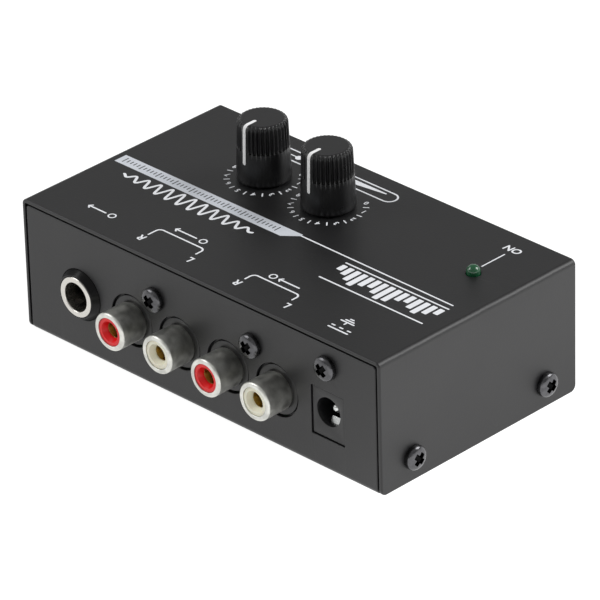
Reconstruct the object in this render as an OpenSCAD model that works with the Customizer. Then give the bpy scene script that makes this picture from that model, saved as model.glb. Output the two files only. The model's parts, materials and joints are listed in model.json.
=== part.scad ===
// Phono preamp: a small folded-steel case with two dials, four phono sockets, a 6.35 mm stereo
// socket, a round 12 V power socket and a ground screw.
// Origin: centre of the underside. +Z up, +Y towards the sockets, -Y towards the user.

/* [Case] */
// Overall width of the case, end plate to end plate
body_w = 103; // [102:0.5:140]
// Overall depth of the case, panel to panel
body_d = 57.4; // [54:0.2:80]
// Overall height of the case, without the knobs
body_h = 30.6; // [30:0.2:45]
// Thickness of the steel sheet
sheet_t = 1.0; // [0.8:0.1:1.6]
// Gap at every seam between the cover and the base
seam = 0.25; // [0.15:0.05:0.6]
// Outer radius of the cover's two bends
cover_bend_r = 1.2; // [0.6:0.1:2.5]
// Outer radius of the base's two bends
base_bend_r = 1.4; // [0.6:0.1:3]
// Radius of the rounded lower corners of the end plates
end_corner_r = 1.5; // [0.5:0.1:4]

/* [Cover screws] */
// Distance of a cover screw from the nearer panel
cover_screw_from_panel = 9.2; // [7:0.1:16]
// Height of the cover screws above the underside
cover_screw_z = 5.5; // [5:0.1:8]
// Length of a cover screw's shank
cover_screw_len = 5.0; // [4:0.5:6]
// Width of the tab that a cover screw goes into
tab_w = 11; // [8:0.5:14]
// Height of the tab above the underside
tab_h = 9.5; // [9:0.5:14]

/* [Phono sockets] */
// Distance between neighbouring phono sockets
rca_pitch = 14; // [13.6:0.1:14.6]
// Outer diameter of the metal shell
rca_shell_d = 8.5; // [8:0.1:10.4]
// Wall of the metal shell
rca_shell_wall = 1.1; // [0.6:0.1:1.3]
// How far the shell stands out of the panel
rca_reach = 6.6; // [5:0.1:10]
// Diameter of the round plastic boss around the shell
rca_boss_d = 11.2; // [10.9:0.1:13]
// Bore of the centre contact
rca_contact_bore_d = 3.3; // [3:0.1:3.6]
// Wall of the centre contact
rca_contact_wall = 0.4; // [0.3:0.05:0.6]
// Height of the socket's centre above the board
rca_above_board = 5.9; // [5.7:0.1:7]
// Depth of a twin socket block behind the panel
rca_block_depth = 9.7; // [8:0.1:12]
// Height of the fixing screw above the sockets' centres
rca_screw_rise = 7.7; // [6.5:0.1:9]

/* [Stereo socket] */
// Distance of the socket's centre from the end plate next to it
trs_from_end = 16.8; // [15:0.1:20]
// Distance from the stereo socket to the first phono socket
trs_to_rca = 15.2; // [14.8:0.1:18]
// Bore that takes the 6.35 mm plug
trs_bore_d = 6.5; // [6.4:0.05:6.7]
// Outer diameter of the silver ring
trs_ring_d = 9.1; // [8:0.1:9.6]
// Diameter of the black nose at the panel
trs_nose_d = 11.5; // [11:0.1:13]
// How far the nose stands out of the panel
trs_reach = 1.5; // [0.8:0.1:4]
// Height of the socket's centre above the board
trs_above_board = 6.3; // [6.3:0.1:8]
// Width of the socket's housing
trs_body_w = 15.4; // [14:0.1:16]
// Length of the housing behind the panel
trs_body_len = 27.5; // [24:0.5:30]

/* [Power socket] */
// Distance of the socket's centre from the end plate next to it
dc_from_end = 14.75; // [13:0.05:20]
// Width of the socket's square face
dc_w = 9; // [8.8:0.1:10]
// Height of the socket's housing
dc_h = 11; // [10.5:0.1:12]
// Length of the socket's housing
dc_len = 14; // [12:0.5:16]
// How far the face sits behind the panel's outer face
dc_recess = 0.3; // [0:0.05:0.9]
// Bore that takes the barrel plug
dc_bore_d = 6.4; // [6:0.1:6.6]
// Depth of the plug bore
dc_bore_depth = 10; // [9:0.5:11]
// Diameter of the centre pin
dc_pin_d = 2.1; // [2:0.1:2.5]
// How far the pin's tip sits behind the face
dc_pin_recess = 1.6; // [1:0.1:3]

/* [Dials] */
// Distance of the outer dial's axis from the end plate next to it
dial_from_end = 31; // [29:0.1:34]
// Distance between the two dials
dial_pitch = 18.7; // [16:0.1:24]
// Distance of the dials' axes from the front panel
dial_from_front = 17.2; // [14:0.1:20]
// Diameter of a knob at its foot
knob_d = 11.7; // [10.5:0.1:14]
// Diameter of a knob at its top
knob_top_d = 10.8; // [9.5:0.1:13]
// Height of a knob
knob_h = 13.6; // [12:0.1:18]
// Gap between a knob and the cover
knob_gap = 0.5; // [0.4:0.1:1.5]
// Height of the fluted upper part of a knob
flute_h = 6.3; // [4:0.1:8]
// Number of flutes
flute_n = 36; // [24:1:40]
// Depth of a flute
flute_depth = 0.35; // [0.2:0.05:0.5]
// Width of the white pointer
pointer_w = 0.8; // [0.5:0.1:1.2]
// Length of the pointer down the side of the knob
pointer_drop = 9.0; // [4:0.1:11]
// Distance of the pointer's inner end from the axis
pointer_start = 1.9; // [0.5:0.1:3]
// Diameter of a dial's shaft
shaft_d = 6; // [5:0.1:7.2]
// Depth of the flat on the shaft's upper end
shaft_flat = 1.5; // [0.8:0.1:1.8]

/* [Lamp] */
// Distance of the lamp from the end plate next to it
led_from_end = 11.6; // [9:0.1:16]
// Distance of the lamp from the front panel
led_from_front = 18.0; // [15:0.1:20]
// Diameter of the lamp
led_d = 3.0; // [3:0.1:5]
// How far the lamp's dome stands out of the cover
led_reach = 1.9; // [0.5:0.1:2.4]

/* [Board] */
// Thickness of the circuit board
board_t = 1.6; // [1.2:0.1:2]
// Height of the standoffs under the board
standoff_h = 5.0; // [5:0.1:6.2]
// Gap from the board's ends to the cover screws' points
board_end_gap = 1.0; // [0.6:0.1:3]
// Gap from the board's long edges to the panels
board_side_gap = 1.0; // [0.6:0.1:3]
// Outer diameter of a standoff
standoff_d = 5.5; // [5:0.1:7]

/* [Screws] */
// Thread diameter of every screw
screw_d = 3.0; // [2.5:0.1:3.2]
// Head diameter of every screw
screw_head_d = 5.4; // [5:0.1:6.4]
// Head height of every screw
screw_head_h = 1.8; // [1.6:0.1:2.6]
// How far the ground screw unscrews to let a lead in under its head
ground_travel = 2.5; // [1:0.1:3]

/* [Fits] */
// Radial clearance of a screw in its thread
thread_gap = 0.05; // [0.02:0.01:0.1]
// Radial clearance of a screw in a plain hole
hole_gap = 0.2; // [0.1:0.05:0.5]
// Radial clearance of a piece that is pressed into another
press_gap = 0.02; // [0.01:0.01:0.05]
// Radial clearance of a shaft in its bushing
shaft_gap = 0.05; // [0.02:0.01:0.1]
// Clearance between a panel opening and what stands in it
opening_gap = 0.35; // [0.1:0.05:0.6]

/* [Hidden] */
$fn = 64;

// Amount by which a cut runs past the face that it opens
past = 1;

// Colours
case_black = "#2b2b2c";
moulded_black = "#1a1a1b";
screw_black = "#202021";
nickel = "#b9bab8";
tinned = "#c9c9c6";
brass = "#b28a3c";

// Case faces
panel_y = body_d / 2;
panel_in_y = panel_y - sheet_t;
end_x = body_w / 2;
base_w = body_w - 2 * (sheet_t + seam);
panel_top_z = body_h - sheet_t - seam;
cover_screw_y = panel_y - cover_screw_from_panel;

// Board faces, and the board's size between the tabs and the panels
board_z = sheet_t + standoff_h;
board_top = board_z + board_t;
board_w = body_w - 2 * (cover_screw_len + board_end_gap);
board_d = body_d - 2 * (sheet_t + board_side_gap);
standoff_inset = 3.2;
standoff_stem_d = 4.2;

// Screws
screw_r = screw_d / 2;
screw_hole_r = screw_r + hole_gap;
thread_r = screw_r + thread_gap;
head_dome_r = 6.5;
cross_w = 0.75;
cross_l = 2.7;
cross_depth = 1.2;
jack_screw_len = 8;
board_screw_len = 5.6;

// Phono sockets, from the stereo socket's side to the power socket's side
trs_x = end_x - trs_from_end;
trs_z = board_top + trs_above_board;
rca_x0 = trs_x - trs_to_rca;
rca_z = board_top + rca_above_board;
rca_screw_z = rca_z + rca_screw_rise;
rca_r = rca_shell_d / 2;
rca_insert_r = rca_r - rca_shell_wall;
rca_contact_r = rca_contact_bore_d / 2 + rca_contact_wall;
rca_boss_r = rca_boss_d / 2;
rca_boss_recess = 0.15;
rca_block_w = 2 * rca_pitch - 1;
rca_block_top = rca_screw_z + 3;
rca_shell_back = 3;
rca_foot_r = rca_r - 0.3;
rca_foot_proud = 0.15;
rca_lip = 0.55;
rca_insert_recess = 0.25;
rca_funnel_r = rca_insert_r - 0.55;
rca_funnel_depth = 1.3;
rca_contact_start = 2.0;
rca_contact_back = 8.2;
rca_pin_y = panel_in_y - rca_contact_back + 1;

// Stereo socket
trs_nose_r = trs_nose_d / 2;
trs_front_r = trs_ring_d / 2 + 0.3;
trs_ring_r = trs_ring_d / 2;
trs_ring_len = 6;
trs_ring_proud = 0.12;
trs_body_h = 2 * trs_above_board;
trs_spring_w = 2.4;
trs_slot_w = trs_spring_w + 0.6;
trs_slot_d = 1.9;
trs_tip_at = 21;
trs_ring_at = 13;

// Power socket
dc_x = -end_x + dc_from_end;
dc_face_y = panel_y - dc_recess;
dc_axis_above_board = 6.2;
dc_z = board_top + dc_axis_above_board;
dc_spring_w = 2.3;
dc_spring_t = 0.4;
dc_slot_depth = 1.1;
dc_spring_recess = 1.4;
dc_pin_collar_r = dc_pin_d / 2 + 0.2;
dc_pin_collar_l = dc_len - dc_bore_depth + 0.15;

// Ground screw above the power socket, with its lug and wire behind the panel
ground_z = board_top + dc_h + 5.6;
nut_across_flats = 5.5;
nut_t = 2.4;
lug_t = 0.8;
ground_screw_point = 1.3;
ground_screw_len = sheet_t + lug_t + nut_t + ground_travel + ground_screw_point;
lug_r = 2.9;
lug_barrel_r = 1.1;
wire_r = 0.68;
// The wire stands midway between the power socket and the twin block next to it
wire_x = (dc_x + dc_w / 2 + pair_x(1) - rca_block_w / 2) / 2;
wire_y = panel_in_y - lug_barrel_r - 0.1;
barrel_len = 4;

// Dials
trim_x = end_x - dial_from_end;
level_x = trim_x - dial_pitch;
dial_y = -panel_y + dial_from_front;
shaft_r = shaft_d / 2;
shaft_hole_r = shaft_r + 1.0;
knob_z = body_h + knob_gap;
knob_edge_r = 1.1;
knob_bore_depth = 11;
knob_wall = 1.0;
hub_wall = 1.1;
knob_hollow_depth = 8.5;
// Flutes left out on each side of the pointer, so that it lies on a plain land
flute_land = 1;
pointer_depth = 0.35;
pointer_proud = 0.04;
flat_len = 9;
shaft_end_gap = 0.4;

// Potentiometers under the dials
pot_w = shaft_d + 3.8;
pot_d = shaft_d + 5.4;
wafer_t = 1.0;
pot_case_h = 5.8;
pot_cavity_r = shaft_r + 1.4;
pot_cavity_h = 3.6;
pot_case_z = board_top + wafer_t;
bushing_wall = 0.6;
bushing_h = 6;
bushing_flange_t = 0.8;
bushing_flange_r = shaft_r + 1.6;
rotor_r = shaft_r + 1.0;
rotor_h = 2.6;
rotor_gap = 0.15;
rotor_top_z = pot_case_z + pot_cavity_h - rotor_gap;
wiper_t = 0.25;
wiper_finger = 0.9;
terminal_pitch = 2.5;

// Lamp
led_x = -end_x + led_from_end;
led_y = -panel_y + led_from_front;
led_r = led_d / 2;
led_hole_gap = 0.1;
led_top_z = body_h + led_reach;
led_len = 5.3;
led_flange_t = 1.0;
led_flange_r = led_r + 0.4;
led_base_z = led_top_z - led_len;
lead_pitch = 1.27;
lead_r = 0.25;

// Parts on the board: places are steps from a dial, or from the board's middle
op_amp_l = 9.4;
op_amp_w = 6.4;
op_amp_h = 3.3;
op_amp_rise = 0.5;
op_amp_places = [[-12, 4.5], [-25, 4.5]];
can_places = [[-33.5, -19], [-25.5, -19], [-17.5, -19], [-9.5, -19], [-33.5, -4], [-25.5, -8]];
can_r = 3.15;
can_h = 11;
film_places = [[0, 12.5], [9.4, 12.5], [18.7, 12.5]];
film_l = 7.2;
film_w = 2.6;
film_h = 6.5;
resistor_places = [[-17, -11.5], [-17, -8.5], [-17, -5.5], [-8, 11.5], [-21, 11.5]];
resistor_r = 1.15;
resistor_l = 6.3;
resistor_rise = 1.4;
resistor_lead_out = 1.8;
regulator_at = [-34, 6];
regulator_r = 2.4;
regulator_h = 4.8;
regulator_rise = 2.2;

function rca_x(i) = rca_x0 - i * rca_pitch;
function pair_x(i) = rca_x0 - (2 * i + 0.5) * rca_pitch;
function dial_x(i) = trim_x - i * dial_pitch;
// Radius of the knob's plain cone at a height above its foot
function knob_r_at(h) = knob_d / 2 + (knob_top_d - knob_d) / 2 * h / knob_h;
function standoff_at() = [
    for (sx = [-1, 1]) [sx * (board_w / 2 - standoff_inset), -board_d / 2 + standoff_inset],
    [-board_w / 2 + standoff_inset, panel_in_y - dc_len - standoff_inset - 2],
    [trim_x + 1.5, panel_in_y - rca_block_depth - standoff_inset - 2.2]];

// ---- shapes that repeat ----

// Rectangle whose two upper corners are round
module round_top(w, h, r) {
    translate([-w / 2, 0])
        square([w, h - r]);
    translate([-w / 2 + r, 0])
        square([w - 2 * r, h]);
    for (s = [-1, 1])
        translate([s * (w / 2 - r), h - r])
            circle(r);
}

// Rectangle whose two lower corners are round, standing on the axis
module round_bottom(w, h, r) {
    translate([0, h])
        mirror([0, 1])
            round_top(w, h, r);
}

// A block from one corner to the other
module block(low, high) {
    translate(low)
        cube(high - low);
}

// A cylinder that starts at a place and points along +Y
module rod_y(at, r, l) {
    translate(at)
        rotate([-90, 0, 0])
            cylinder(r = r, h = l);
}

// Pan head screw: its head sits on the plane z = 0, its shank points down
module pan_screw(len) {
    difference() {
        union() {
            intersection() {
                cylinder(r = screw_head_d / 2, h = screw_head_h);
                translate([0, 0, screw_head_h - head_dome_r])
                    sphere(head_dome_r);
            }
            translate([0, 0, -len])
                cylinder(r = screw_r, h = len + past / 2);
        }
        for (a = [45, 135])
            rotate([0, 0, a])
                translate([-cross_l / 2, -cross_w / 2, screw_head_h - cross_depth])
                    cube([cross_l, cross_w, cross_depth + past]);
    }
}

// Pan head screw in the socket panel
module panel_screw(x, z, len) {
    translate([x, panel_y, z])
        rotate([-90, 0, 0])
            pan_screw(len);
}

// ---- case ----

// Cover: one sheet bent down over both short edges, with round lower corners
module top_cover() {
    color(case_black)
        difference() {
            intersection() {
                translate([0, panel_y, 0])
                    rotate([90, 0, 0])
                        linear_extrude(body_d)
                            difference() {
                                round_top(body_w, body_h, cover_bend_r);
                                translate([0, -past])
                                    round_top(body_w - 2 * sheet_t, body_h - sheet_t + past,
                                        max(cover_bend_r - sheet_t, 0.2));
                            }
                translate([-body_w, 0, 0])
                    rotate([90, 0, 90])
                        linear_extrude(2 * body_w)
                            round_bottom(body_d, body_h, end_corner_r);
            }
            for (i = [0, 1])
                translate([dial_x(i), dial_y, body_h - 2 * sheet_t])
                    cylinder(r = shaft_hole_r, h = 4 * sheet_t);
            translate([led_x, led_y, body_h - 2 * sheet_t])
                cylinder(r = led_r + led_hole_gap, h = 4 * sheet_t);
            for (s = [-1, 1])
                translate([-body_w, s * cover_screw_y, cover_screw_z])
                    rotate([0, 90, 0])
                        cylinder(r = screw_hole_r, h = 2 * body_w);
        }
}

// Base: one sheet bent up into both panels, with four tabs for the cover screws
module base_chassis() {
    color(case_black)
        difference() {
            union() {
                translate([-base_w / 2, 0, 0])
                    rotate([90, 0, 90])
                        linear_extrude(base_w)
                            difference() {
                                round_bottom(body_d, panel_top_z, base_bend_r);
                                translate([0, sheet_t])
                                    round_bottom(body_d - 2 * sheet_t, panel_top_z,
                                        max(base_bend_r - sheet_t, 0.2));
                            }
                for (sx = [-1, 1])
                    for (sy = [-1, 1])
                        translate([sx * (base_w - sheet_t) / 2 - sheet_t / 2, sy * cover_screw_y, 0])
                            rotate([90, 0, 90])
                                linear_extrude(sheet_t)
                                    round_top(tab_w, tab_h, 2);
            }
            for (i = [0 : 3])
                rod_y([rca_x(i), panel_in_y - past, rca_z], rca_boss_r + opening_gap, sheet_t + 2 * past);
            rod_y([trs_x, panel_in_y - past, trs_z], trs_nose_r + press_gap * 3, sheet_t + 2 * past);
            for (i = [0, 1])
                rod_y([pair_x(i), panel_in_y - past, rca_screw_z], screw_hole_r, sheet_t + 2 * past);
            rod_y([dc_x, panel_in_y - past, ground_z], screw_hole_r, sheet_t + 2 * past);
            block([dc_x - dc_w / 2 - 0.15, panel_in_y - past, board_top - 0.15],
                [dc_x + dc_w / 2 + 0.15, panel_y + past, board_top + dc_h + 0.15]);
            for (s = [-1, 1])
                translate([-body_w, s * cover_screw_y, cover_screw_z])
                    rotate([0, 90, 0])
                        cylinder(r = thread_r, h = 2 * body_w);
            for (p = standoff_at())
                translate([p[0], p[1], -past])
                    cylinder(r = standoff_stem_d / 2 + press_gap, h = sheet_t + 2 * past);
        }
}

module cover_screws() {
    color(screw_black)
        for (sx = [-1, 1])
            for (sy = [-1, 1])
                translate([sx * end_x, sy * cover_screw_y, cover_screw_z])
                    rotate([0, sx * 90, 0])
                        pan_screw(cover_screw_len);
}

module jack_screws() {
    color(screw_black)
        for (i = [0, 1])
            panel_screw(pair_x(i), rca_screw_z, jack_screw_len);
}

// ---- ground terminal ----

module ground_screw() {
    color(screw_black)
        panel_screw(dc_x, ground_z, ground_screw_len);
}

module ground_nut() {
    color(nickel)
        translate([dc_x, panel_in_y - lug_t - nut_t, ground_z])
            rotate([-90, 0, 0])
                difference() {
                    cylinder(r = nut_across_flats / 2 / cos(30), h = nut_t, $fn = 6);
                    translate([0, 0, -past])
                        cylinder(r = thread_r, h = nut_t + 2 * past);
                }
}

// Ring under the nut, a flat tongue, and a barrel crimped on the wire
module ground_lug() {
    color(tinned)
        difference() {
            union() {
                rod_y([dc_x, panel_in_y - lug_t, ground_z], lug_r, lug_t);
                block([dc_x, panel_in_y - lug_t, ground_z - lug_barrel_r],
                    [wire_x, panel_in_y, ground_z + lug_barrel_r]);
                translate([wire_x, wire_y, ground_z - barrel_len / 2])
                    cylinder(r = lug_barrel_r, h = barrel_len);
            }
            rod_y([dc_x, panel_in_y - lug_t - past, ground_z], screw_hole_r, lug_t + 2 * past);
            translate([wire_x, wire_y, ground_z - barrel_len / 2 - past])
                cylinder(r = wire_r + press_gap, h = barrel_len + 2 * past);
        }
}

module ground_wire() {
    color("#3f8f3a")
        translate([wire_x, wire_y, board_top])
            cylinder(r = wire_r, h = ground_z + barrel_len / 2 - board_top);
}

// ---- phono sockets ----

// Twin socket block: a moulded housing with two round bosses that fill the panel's holes
module jack_block(i) {
    x = pair_x(i);
    color(moulded_black)
        difference() {
            union() {
                block([x - rca_block_w / 2, panel_in_y - rca_block_depth, board_top],
                    [x + rca_block_w / 2, panel_in_y, rca_block_top]);
                for (k = [0, 1])
                    rod_y([rca_x(2 * i + k), panel_in_y - past, rca_z], rca_boss_r,
                        sheet_t + past - rca_boss_recess);
            }
            for (k = [0, 1]) {
                rod_y([rca_x(2 * i + k), panel_in_y - rca_shell_back, rca_z], rca_foot_r + press_gap,
                    rca_shell_back + sheet_t + past);
                rod_y([rca_x(2 * i + k), panel_in_y - rca_contact_back, rca_z], rca_contact_r + press_gap,
                    rca_contact_back);
                translate([rca_x(2 * i + k), rca_pin_y, board_top - past])
                    cylinder(r = 0.65, h = rca_above_board + past);
            }
            rod_y([x, panel_in_y - jack_screw_len - past, rca_screw_z], thread_r, jack_screw_len + 2 * past);
        }
}

module output_jack_block() {
    jack_block(0);
}

module input_jack_block() {
    jack_block(1);
}

// Metal shells: a plain tube with a narrower foot in the block and a front end rounded inside and out
module jack_shells() {
    color(nickel)
        for (i = [0 : 3])
            translate([rca_x(i), panel_in_y - rca_shell_back, rca_z])
                rotate([-90, 0, 0])
                    difference() {
                        l = rca_shell_back + sheet_t + rca_reach;
                        foot_l = rca_shell_back + sheet_t + rca_foot_proud;
                        union() {
                            cylinder(r = rca_foot_r, h = foot_l);
                            translate([0, 0, foot_l])
                                cylinder(r = rca_r, h = l - rca_lip - foot_l);
                            translate([0, 0, l - rca_lip])
                                rotate_extrude()
                                    intersection() {
                                        union() {
                                            square([rca_r - rca_lip, rca_lip]);
                                            translate([rca_r - rca_lip, 0])
                                                circle(rca_lip);
                                        }
                                        square([rca_r, rca_lip]);
                                    }
                        }
                        translate([0, 0, -past])
                            cylinder(r = rca_insert_r, h = l + 2 * past);
                    }
}

// Coloured insulator inside a shell, with a funnel that leads to the contact
module jack_insert(i) {
    translate([rca_x(i), panel_in_y - rca_shell_back, rca_z])
        rotate([-90, 0, 0])
            difference() {
                l = rca_shell_back + sheet_t + rca_reach - rca_insert_recess;
                cylinder(r = rca_insert_r - press_gap, h = l);
                translate([0, 0, -past])
                    cylinder(r = rca_contact_r + press_gap, h = l + past - rca_contact_start);
                cylinder(r = rca_contact_bore_d / 2 + 0.1, h = l + past);
                translate([0, 0, l - rca_funnel_depth])
                    cylinder(r1 = rca_contact_bore_d / 2, r2 = rca_funnel_r, h = rca_funnel_depth + 0.001);
            }
}

module red_jack_inserts() {
    color("#c8202f")
        for (i = [0, 2])
            jack_insert(i);
}

module white_jack_inserts() {
    color("#ece9e0")
        for (i = [1, 3])
            jack_insert(i);
}

// Centre contacts: a tube that grips the plug's pin, with a leg down to the board
module jack_contacts() {
    tube = rca_contact_back + sheet_t + rca_reach - rca_insert_recess - rca_contact_start;
    color(brass)
        for (i = [0 : 3])
            difference() {
                union() {
                    rod_y([rca_x(i), panel_in_y - rca_contact_back, rca_z], rca_contact_r, tube);
                    translate([rca_x(i), rca_pin_y, board_z - 0.6])
                        cylinder(r = 0.6, h = rca_z - board_z);
                }
                rod_y([rca_x(i), panel_in_y - rca_contact_back + 2, rca_z], rca_contact_bore_d / 2, tube);
            }
}

// ---- stereo socket ----

module stereo_jack_body() {
    color(moulded_black)
        difference() {
            union() {
                block([trs_x - trs_body_w / 2, panel_in_y - trs_body_len, board_top],
                    [trs_x + trs_body_w / 2, panel_in_y, board_top + trs_body_h]);
                rod_y([trs_x, panel_in_y - past, trs_z], trs_nose_r, sheet_t + past);
                translate([trs_x, panel_y, trs_z])
                    rotate([-90, 0, 0])
                        cylinder(r1 = trs_nose_r, r2 = trs_front_r, h = trs_reach);
            }
            rod_y([trs_x, panel_y - trs_ring_len, trs_z], trs_ring_r + press_gap, trs_ring_len + trs_reach + past);
            rod_y([trs_x, panel_in_y - trs_body_len + 1.5, trs_z], trs_bore_d / 2 + 0.3, trs_body_len);
            block([trs_x - trs_slot_w / 2, panel_in_y - trs_tip_at - 4.5, trs_z],
                [trs_x + trs_slot_w / 2, panel_in_y - trs_tip_at + 6.5, trs_z + trs_bore_d / 2 + trs_slot_d]);
            block([trs_x - trs_slot_w / 2, panel_in_y - trs_ring_at - 4.5, trs_z - trs_bore_d / 2 - trs_slot_d],
                [trs_x + trs_slot_w / 2, panel_in_y - trs_ring_at + 5.5, trs_z]);
        }
}

// Silver ring: the sleeve contact, flush with the nose
module stereo_jack_ferrule() {
    l = trs_ring_len + trs_reach + trs_ring_proud;
    color("#d8d9d8")
        translate([trs_x, panel_y - trs_ring_len, trs_z])
            rotate([-90, 0, 0])
                difference() {
                    union() {
                        cylinder(r = trs_ring_r, h = l - 0.3);
                        translate([0, 0, l - 0.3])
                            cylinder(r1 = trs_ring_r, r2 = trs_ring_r - 0.3, h = 0.3);
                    }
                    translate([0, 0, -past])
                        cylinder(r = trs_bore_d / 2, h = l + 2 * past);
                    translate([0, 0, l - 0.4])
                        cylinder(r1 = trs_bore_d / 2, r2 = trs_bore_d / 2 + 0.4, h = 0.401);
                }
}

// Leaf spring that lies in a slot of the housing and touches the plug at a bend
module leaf_spring(y, side) {
    translate([trs_x, y, trs_z])
        mirror([0, 0, side < 0 ? 1 : 0])
            translate([-trs_spring_w / 2, 0, trs_bore_d / 2])
                rotate([90, 0, 90])
                    linear_extrude(trs_spring_w)
                        polygon([[-4, 1.85], [-1.2, 1.4], [0, 0.35], [1.2, 1.4], [5, 1.85], [5, 1.5],
                            [1.4, 1.05], [0.2, 0.02], [-0.2, 0.02], [-1.4, 1.05], [-4, 1.5]]);
}

module stereo_jack_tip_spring() {
    color(nickel)
        leaf_spring(panel_in_y - trs_tip_at, 1);
}

module stereo_jack_ring_spring() {
    color(nickel)
        leaf_spring(panel_in_y - trs_ring_at, -1);
}

// ---- power socket ----

module power_jack_body() {
    color(moulded_black)
        difference() {
            block([dc_x - dc_w / 2, dc_face_y - dc_len, board_top], [dc_x + dc_w / 2, dc_face_y, board_top + dc_h]);
            rod_y([dc_x, dc_face_y - dc_bore_depth, dc_z], dc_bore_d / 2, dc_bore_depth + past);
            rod_y([dc_x, dc_face_y - dc_len - past, dc_z], dc_pin_collar_r + press_gap, dc_len);
            block([dc_x - dc_spring_w / 2 - 0.1, dc_face_y - dc_bore_depth, dc_z - dc_bore_d / 2 - dc_slot_depth],
                [dc_x + dc_spring_w / 2 + 0.1, dc_face_y - dc_spring_recess + 0.3, dc_z - dc_bore_d / 4]);
        }
}

// Centre pin with a thicker collar where it is pressed into the housing
module power_jack_pin() {
    l = dc_len - dc_pin_recess - dc_pin_d / 2;
    color(tinned) {
        rod_y([dc_x, dc_face_y - dc_len, dc_z], dc_pin_collar_r, dc_pin_collar_l);
        rod_y([dc_x, dc_face_y - dc_len, dc_z], dc_pin_d / 2, l);
        translate([dc_x, dc_face_y - dc_pin_recess - dc_pin_d / 2, dc_z])
            sphere(dc_pin_d / 2);
    }
}

// Spring under the plug: a leaf in the floor of the bore, with a raised front end
module power_jack_spring() {
    color(tinned)
        translate([dc_x - dc_spring_w / 2, 0, 0])
            rotate([90, 0, 90])
                linear_extrude(dc_spring_w)
                    translate([dc_face_y, dc_z - dc_bore_d / 2 - dc_slot_depth])
                        polygon([[-dc_bore_depth + 0.1, 0], [-dc_spring_recess - 1, 0],
                            [-dc_spring_recess, 0.5], [-dc_spring_recess, 1.2],
                            [-dc_spring_recess - 0.5, 1.5], [-dc_spring_recess - 1.8, dc_spring_t + 0.3],
                            [-dc_spring_recess - 2.4, dc_spring_t], [-dc_bore_depth + 0.1, dc_spring_t]]);
}

// ---- board ----

module circuit_board() {
    color("#2f6b3a")
        difference() {
            block([-board_w / 2, -board_d / 2, board_z], [board_w / 2, board_d / 2, board_top]);
            for (p = standoff_at())
                translate([p[0], p[1], board_z - past])
                    cylinder(r = screw_hole_r, h = board_t + 2 * past);
            for (i = [0 : 3])
                translate([rca_x(i), rca_pin_y, board_z - past])
                    cylinder(r = 0.75, h = board_t + 2 * past);
        }
}

// Clinch standoffs: their stems are pressed into the floor and end flush with the underside
module board_standoffs() {
    color(nickel)
        for (p = standoff_at())
            translate([p[0], p[1], 0])
                difference() {
                    union() {
                        cylinder(r = standoff_stem_d / 2, h = sheet_t + 0.5);
                        translate([0, 0, sheet_t])
                            cylinder(r = standoff_d / 2, h = standoff_h);
                    }
                    translate([0, 0, sheet_t + 0.3])
                        cylinder(r = thread_r, h = standoff_h);
                }
}

module board_screws() {
    color(tinned)
        for (p = standoff_at())
            translate([p[0], p[1], board_top])
                pan_screw(board_screw_len);
}

// ---- potentiometers ----

module pot_wafers() {
    color("#7a4a22")
        for (i = [0, 1])
            block([dial_x(i) - pot_w / 2, dial_y - pot_d / 2, board_top],
                [dial_x(i) + pot_w / 2, dial_y + pot_d / 2, pot_case_z]);
}

module pot_cases() {
    color(nickel)
        for (i = [0, 1])
            difference() {
                block([dial_x(i) - pot_w / 2, dial_y - pot_d / 2, pot_case_z],
                    [dial_x(i) + pot_w / 2, dial_y + pot_d / 2, pot_case_z + pot_case_h]);
                translate([dial_x(i), dial_y, pot_case_z - past])
                    cylinder(r = pot_cavity_r, h = pot_cavity_h + past);
                translate([dial_x(i), dial_y, pot_case_z])
                    cylinder(r = shaft_r + 0.3, h = pot_case_h + past);
            }
}

module pot_bushings() {
    color(brass)
        for (i = [0, 1])
            translate([dial_x(i), dial_y, pot_case_z + pot_case_h])
                difference() {
                    union() {
                        cylinder(r = bushing_flange_r, h = bushing_flange_t);
                        cylinder(r = shaft_r + shaft_gap + bushing_wall, h = bushing_h);
                    }
                    translate([0, 0, -past])
                        cylinder(r = shaft_r + shaft_gap, h = bushing_h + 2 * past);
                }
}

module pot_terminals() {
    color(tinned)
        for (i = [0, 1])
            for (k = [-1 : 1])
                translate([dial_x(i) + k * terminal_pitch, dial_y - pot_d / 2, board_top])
                    block([-0.5, -2.2, 0], [0.5, 0, 0.4]);
}

// Shaft and rotor disc of one potentiometer, with a flat for the knob
module pot_shaft(i) {
    top_z = knob_z + knob_bore_depth - shaft_end_gap;
    color("#e4e2da")
        translate([dial_x(i), dial_y, 0])
            difference() {
                union() {
                    translate([0, 0, rotor_top_z - rotor_h])
                        cylinder(r = rotor_r, h = rotor_h);
                    translate([0, 0, rotor_top_z - past])
                        cylinder(r = shaft_r, h = top_z - rotor_top_z + past);
                }
                block([-shaft_d, -shaft_d, top_z - flat_len], [shaft_d, -shaft_r + shaft_flat, top_z + past]);
            }
}

module trim_shaft() {
    pot_shaft(0);
}

module level_shaft() {
    pot_shaft(1);
}

// Sprung wiper under the rotor: a ring with two fingers over the carbon track
module pot_wiper(i) {
    foot_z = pot_case_z + 0.1;
    plate_z = rotor_top_z - rotor_h - wiper_t;
    color(brass)
        translate([dial_x(i), dial_y, 0]) {
            translate([0, 0, plate_z])
                cylinder(r = rotor_r - 0.3, h = wiper_t);
            for (s = [-1, 1])
                block([s * (rotor_r - 1.3) - wiper_finger / 2, -wiper_finger / 2, foot_z],
                    [s * (rotor_r - 1.3) + wiper_finger / 2, wiper_finger / 2, plate_z + wiper_t / 2]);
        }
}

module trim_wiper() {
    pot_wiper(0);
}

module level_wiper() {
    pot_wiper(1);
}

// ---- knobs ----

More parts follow.
